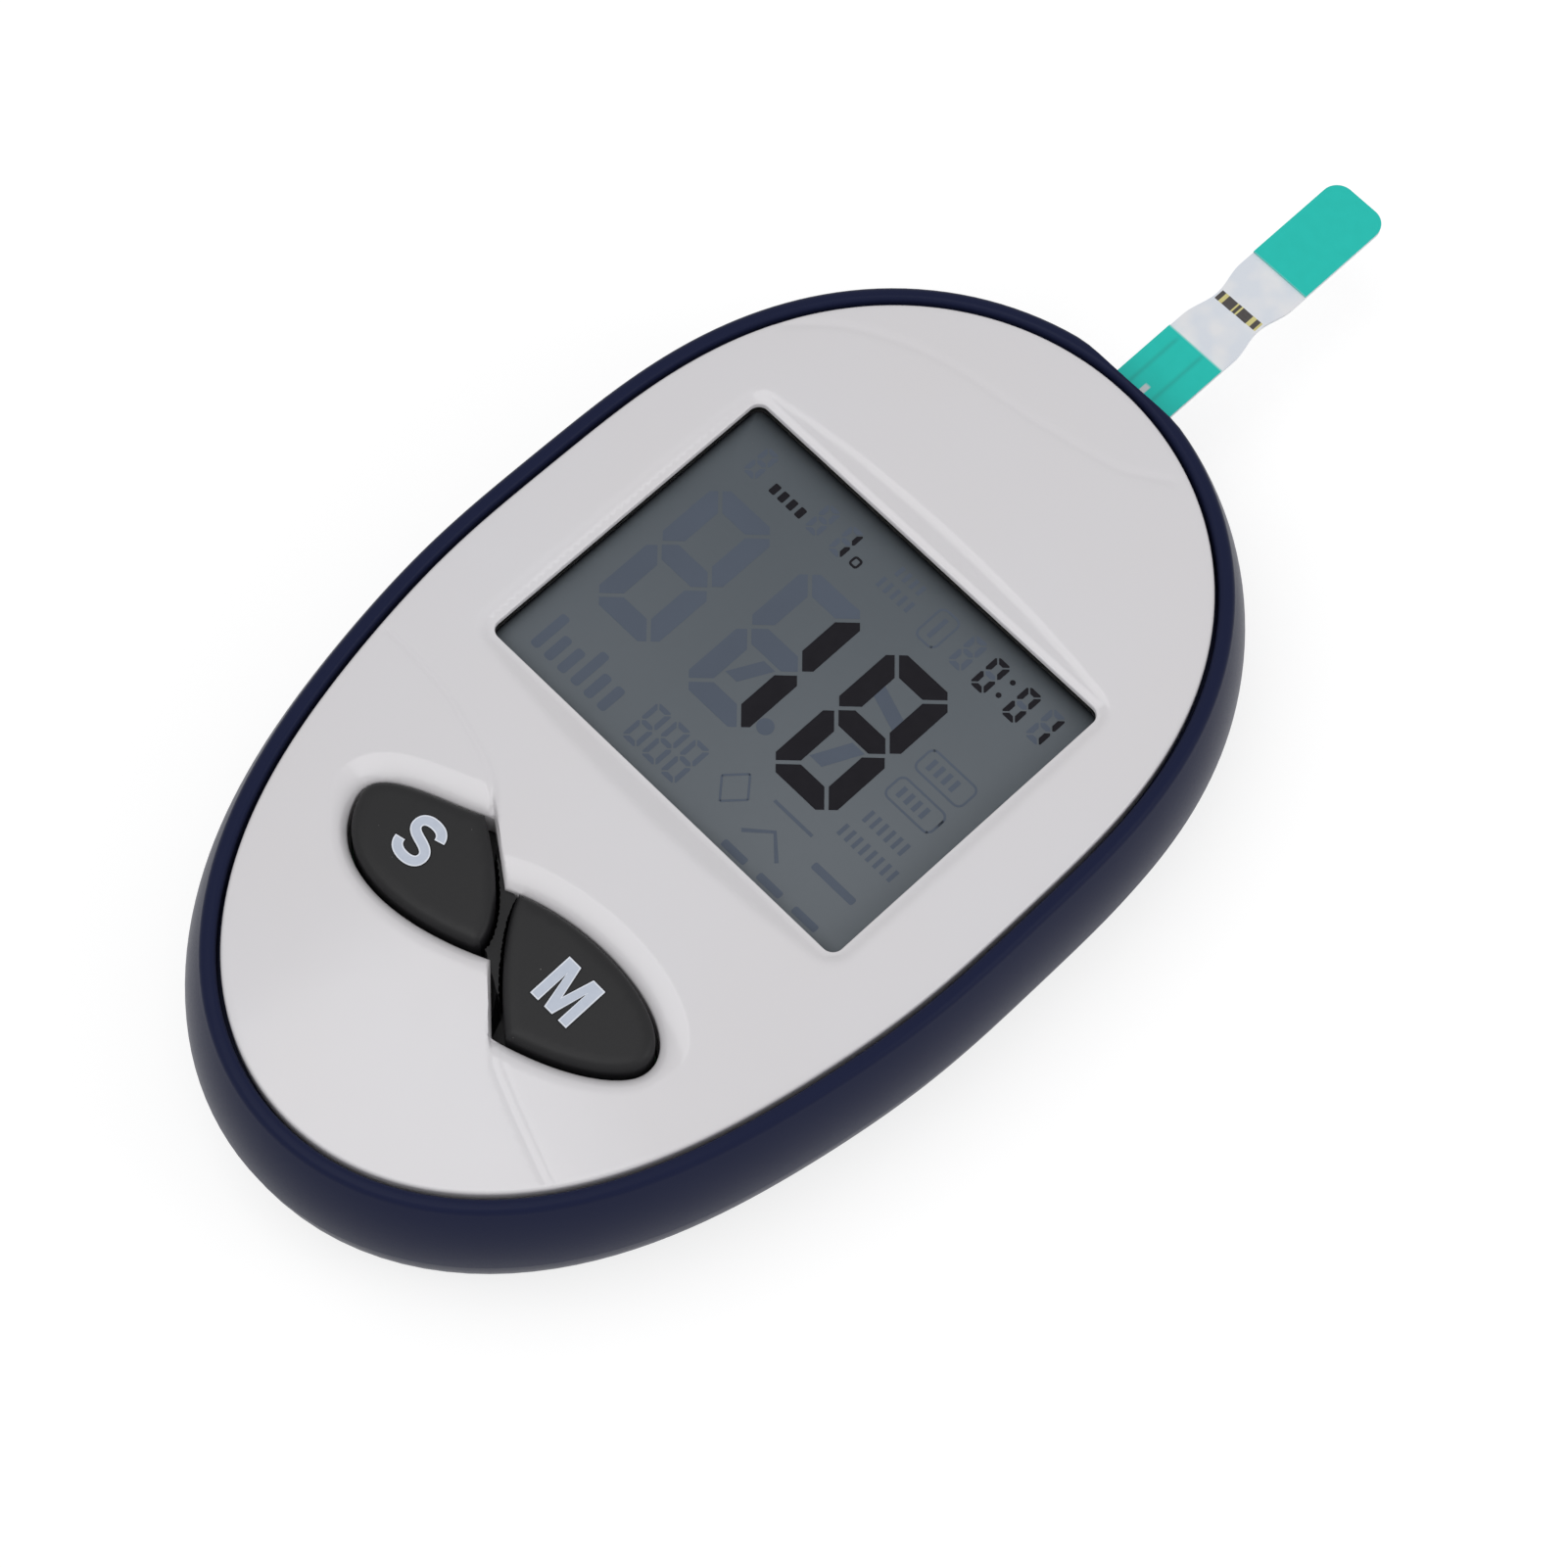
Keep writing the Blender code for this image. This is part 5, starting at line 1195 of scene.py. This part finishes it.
def lathe(name, profile, steps=48):
    """A solid turned round the Y axis from points of (place along it, radius)."""
    points = []
    for along, radius in profile:
        for i in range(steps):
            turn = math.tau * i / steps
            points.append((radius * math.cos(turn), along, radius * math.sin(turn)))
    faces = []
    for k in range(len(profile) - 1):
        for i in range(steps):
            n = (i + 1) % steps
            faces.append((k * steps + i, k * steps + n, (k + 1) * steps + n, (k + 1) * steps + i))
    return mesh_of(name, points, faces)


def cell_finish(name, start, way):
    """Steel at both ends, a dark sleeve and a copper-coloured band at the button end."""
    finish, place = start_finish(name, rgb(40, 42, 46), 0.3)
    along = (part(place, 1) - (start - ORIGIN_Y)) * way
    worn = noise(place, 1.2, 4.0)

    def past(length):
        return along.math("GREATER_THAN", length)

    steel, sleeve = rgb(196, 197, 200), paint(worn, rgb(30, 32, 36), rgb(44, 46, 52))
    copper = paint(worn, rgb(176, 112, 66), rgb(196, 130, 80))
    tone = steel
    bands = ((SLEEVE_FROM, sleeve), (RING_FROM, rgb(206, 206, 208)), (COPPER_FROM, copper), (SLEEVE_TO, steel))
    for edge, next_tone in bands:
        tone = paint(past(edge), tone, next_tone)
    feed(finish, "Base Color", tone)
    bare = 1 - past(SLEEVE_FROM) * (1 - past(SLEEVE_TO))
    feed(finish, "Metallic", (bare + past(RING_FROM) * 0.8).math("MINIMUM", 1.0))
    feed(finish, "Roughness", worn * 0.12 + 0.24)
    return finish


CELL = [
    (0.0, 0.0), (0.0, 3.3), (0.12, 3.5), (0.12, 3.9), (0.0, 4.1), (0.0, 4.7), (0.12, 5.0), (0.35, 5.15),
    (0.55, 5.2), (42.9, 5.2), (43.15, 5.15), (43.4, 4.9), (43.45, 4.3), (43.25, 4.2), (43.25, 2.6),
    (43.35, 2.5), (43.45, 1.95), (43.7, 1.9), (44.25, 1.9), (44.45, 1.75), (44.5, 1.5), (44.5, 0.0),
]
for name, x, start, way in (("battery_1", -5.5, -34.9, 1), ("battery_2", 5.5, 7.0, -1)):
    cell = lathe(name, [(start + way * along, radius) for along, radius in CELL])
    cell.transform(Matrix.Translation((x, 0.0, CELL_AXIS)))
    sleeve = cell_finish(name + "_sleeve", start, way)
    settle(link(name + "_cell", cell), "meter", [name], "cell_can", finish=sleeve)


# Battery contacts.
# Nickel-plated steel plates at both ends of the bay, with a conical spring for the flat end of each
# cell.

nickel = plated("nickel_plate", rgb(204, 202, 194), 0.24, (4.0, 6.0, 0.4))
dress(["battery_contact_positive", "battery_contact_negative", "battery_contact_link"], nickel)
sockets = dict.fromkeys(("Wire", "Wide", "Narrow", "Turns", "Length"), "Float")
coil, given = new_tree("conical_spring", {**sockets, "Finish": "Material"})
wire = given["Wire"]
sizes = {"Resolution": 40, "Rotations": given["Turns"], "Height": given["Length"]}
sizes |= {"Start Radius": given["Wide"] / 2, "End Radius": given["Narrow"] / 2}
spiral = wire.node("GeometryNodeCurveSpiral", {}, sizes)
ring = wire.node("GeometryNodeCurvePrimitiveCircle", {}, {"Resolution": 14, "Radius": wire / 2})
tube = wire.node("GeometryNodeCurveToMesh", {}, {"Curve": spiral, "Profile Curve": ring, "Fill Caps": True})
end_tree(coil, tube, given["Finish"])
form = dict(wire=0.5, wide=5.5, narrow=3.1, turns=3.0, length=1.8)
for name, x, y, way in (("battery_spring_1", -5.5, -37.25, 1), ("battery_spring_2", 5.5, 9.35, -1)):
    spring = grow(name + "_coil", mesh_of(name, [(0.0, 0.0, 0.0)], []), coil, finish=spring_steel, **form)
    spring.data.transform(Matrix.Translation((x, y, CELL_AXIS)) @ Matrix.Rotation(-way * math.pi / 2, 4, "X"))
    settle(spring, "meter", [name], "nickel_steel", finish=spring_steel)


# Case screws.
# Four cross-head screws in wells in the back, which hold the rear case to the tubes of the upper
# housing. Pan heads with a broken edge, and a coarse thread for plastic.

sockets = dict.fromkeys(("Head", "Shank", "Slot"), "Float")
screws, given = new_tree("case_screws", {**sockets, "Finish": "Material"})
head, shank, slot = given["Head"], given["Shank"], given["Slot"]


def at_height(shape, height):
    spot = shape.node("ShaderNodeCombineXYZ", {}, {2: height})
    return shape.node("GeometryNodeTransform", {}, {"Geometry": shape, "Translation": spot})


core_radius, thread_radius = shank * 0.8, shank * 0.84
solids = []
for sides, low_radius, top_radius, depth, height in (
    (48, head * 0.88, head, 1.3, 3.6),
    (32, core_radius, core_radius, 7.6, 4.8),
    (32, core_radius, 0.15, 0.7, 12.4),
):
    size = {"Vertices": sides, "Radius Top": top_radius, "Radius Bottom": low_radius, "Depth": depth}
    solids.append(at_height(head.node("GeometryNodeMeshCone", {}, size), height))
cut, core, point = solids
for turned in (0, 1):
    size = head.node("ShaderNodeCombineXYZ", {}, {turned: head * 1.2, 1 - turned: slot, 2: 1.2})
    bar = at_height(size.node("GeometryNodeMeshCube", {}, {"Size": size}), 3.6)
    less = {"operation": "DIFFERENCE", "solver": "EXACT"}
    cut = cut.node("GeometryNodeMeshBoolean", less, {"Mesh 1": cut, "Mesh 2": bar})
path = {"Resolution": 24, "Rotations": 8.0, "Height": 7.2}
path |= {"Start Radius": thread_radius, "End Radius": thread_radius}
path = head.node("GeometryNodeCurveSpiral", {}, path)
form = head.node("GeometryNodeCurvePrimitiveCircle", {}, {"Resolution": 4, "Radius": shank * 0.15})
form = {"Curve": path, "Profile Curve": form, "Fill Caps": True}
thread = at_height(head.node("GeometryNodeCurveToMesh", {}, form), 5.0)
screw = cut.node("GeometryNodeJoinGeometry", {}, {0: cut})
for piece in (core, point, thread):
    screw.socket.id_data.links.new(piece.socket, screw.socket.node.inputs[0])
placed = screw.node("GeometryNodeInstanceOnPoints", {}, {"Points": given["Geometry"], "Instance": screw})
end_tree(screws, placed, given["Finish"])
steel_finish = plated("screw_steel", rgb(120, 122, 128), 0.32, (3.0, 3.0, 3.0))
spots = mesh_of("screw_spots", [(x, y, 0.0) for x, y in screw_spots], [])
fixed = grow("case_screws", spots, screws, head=1.8, shank=0.9, slot=0.5, finish=steel_finish)
settle(fixed, "meter", [f"case_screw_{i}" for i in (1, 2, 3, 4)], "nickel_steel", finish=steel_finish)
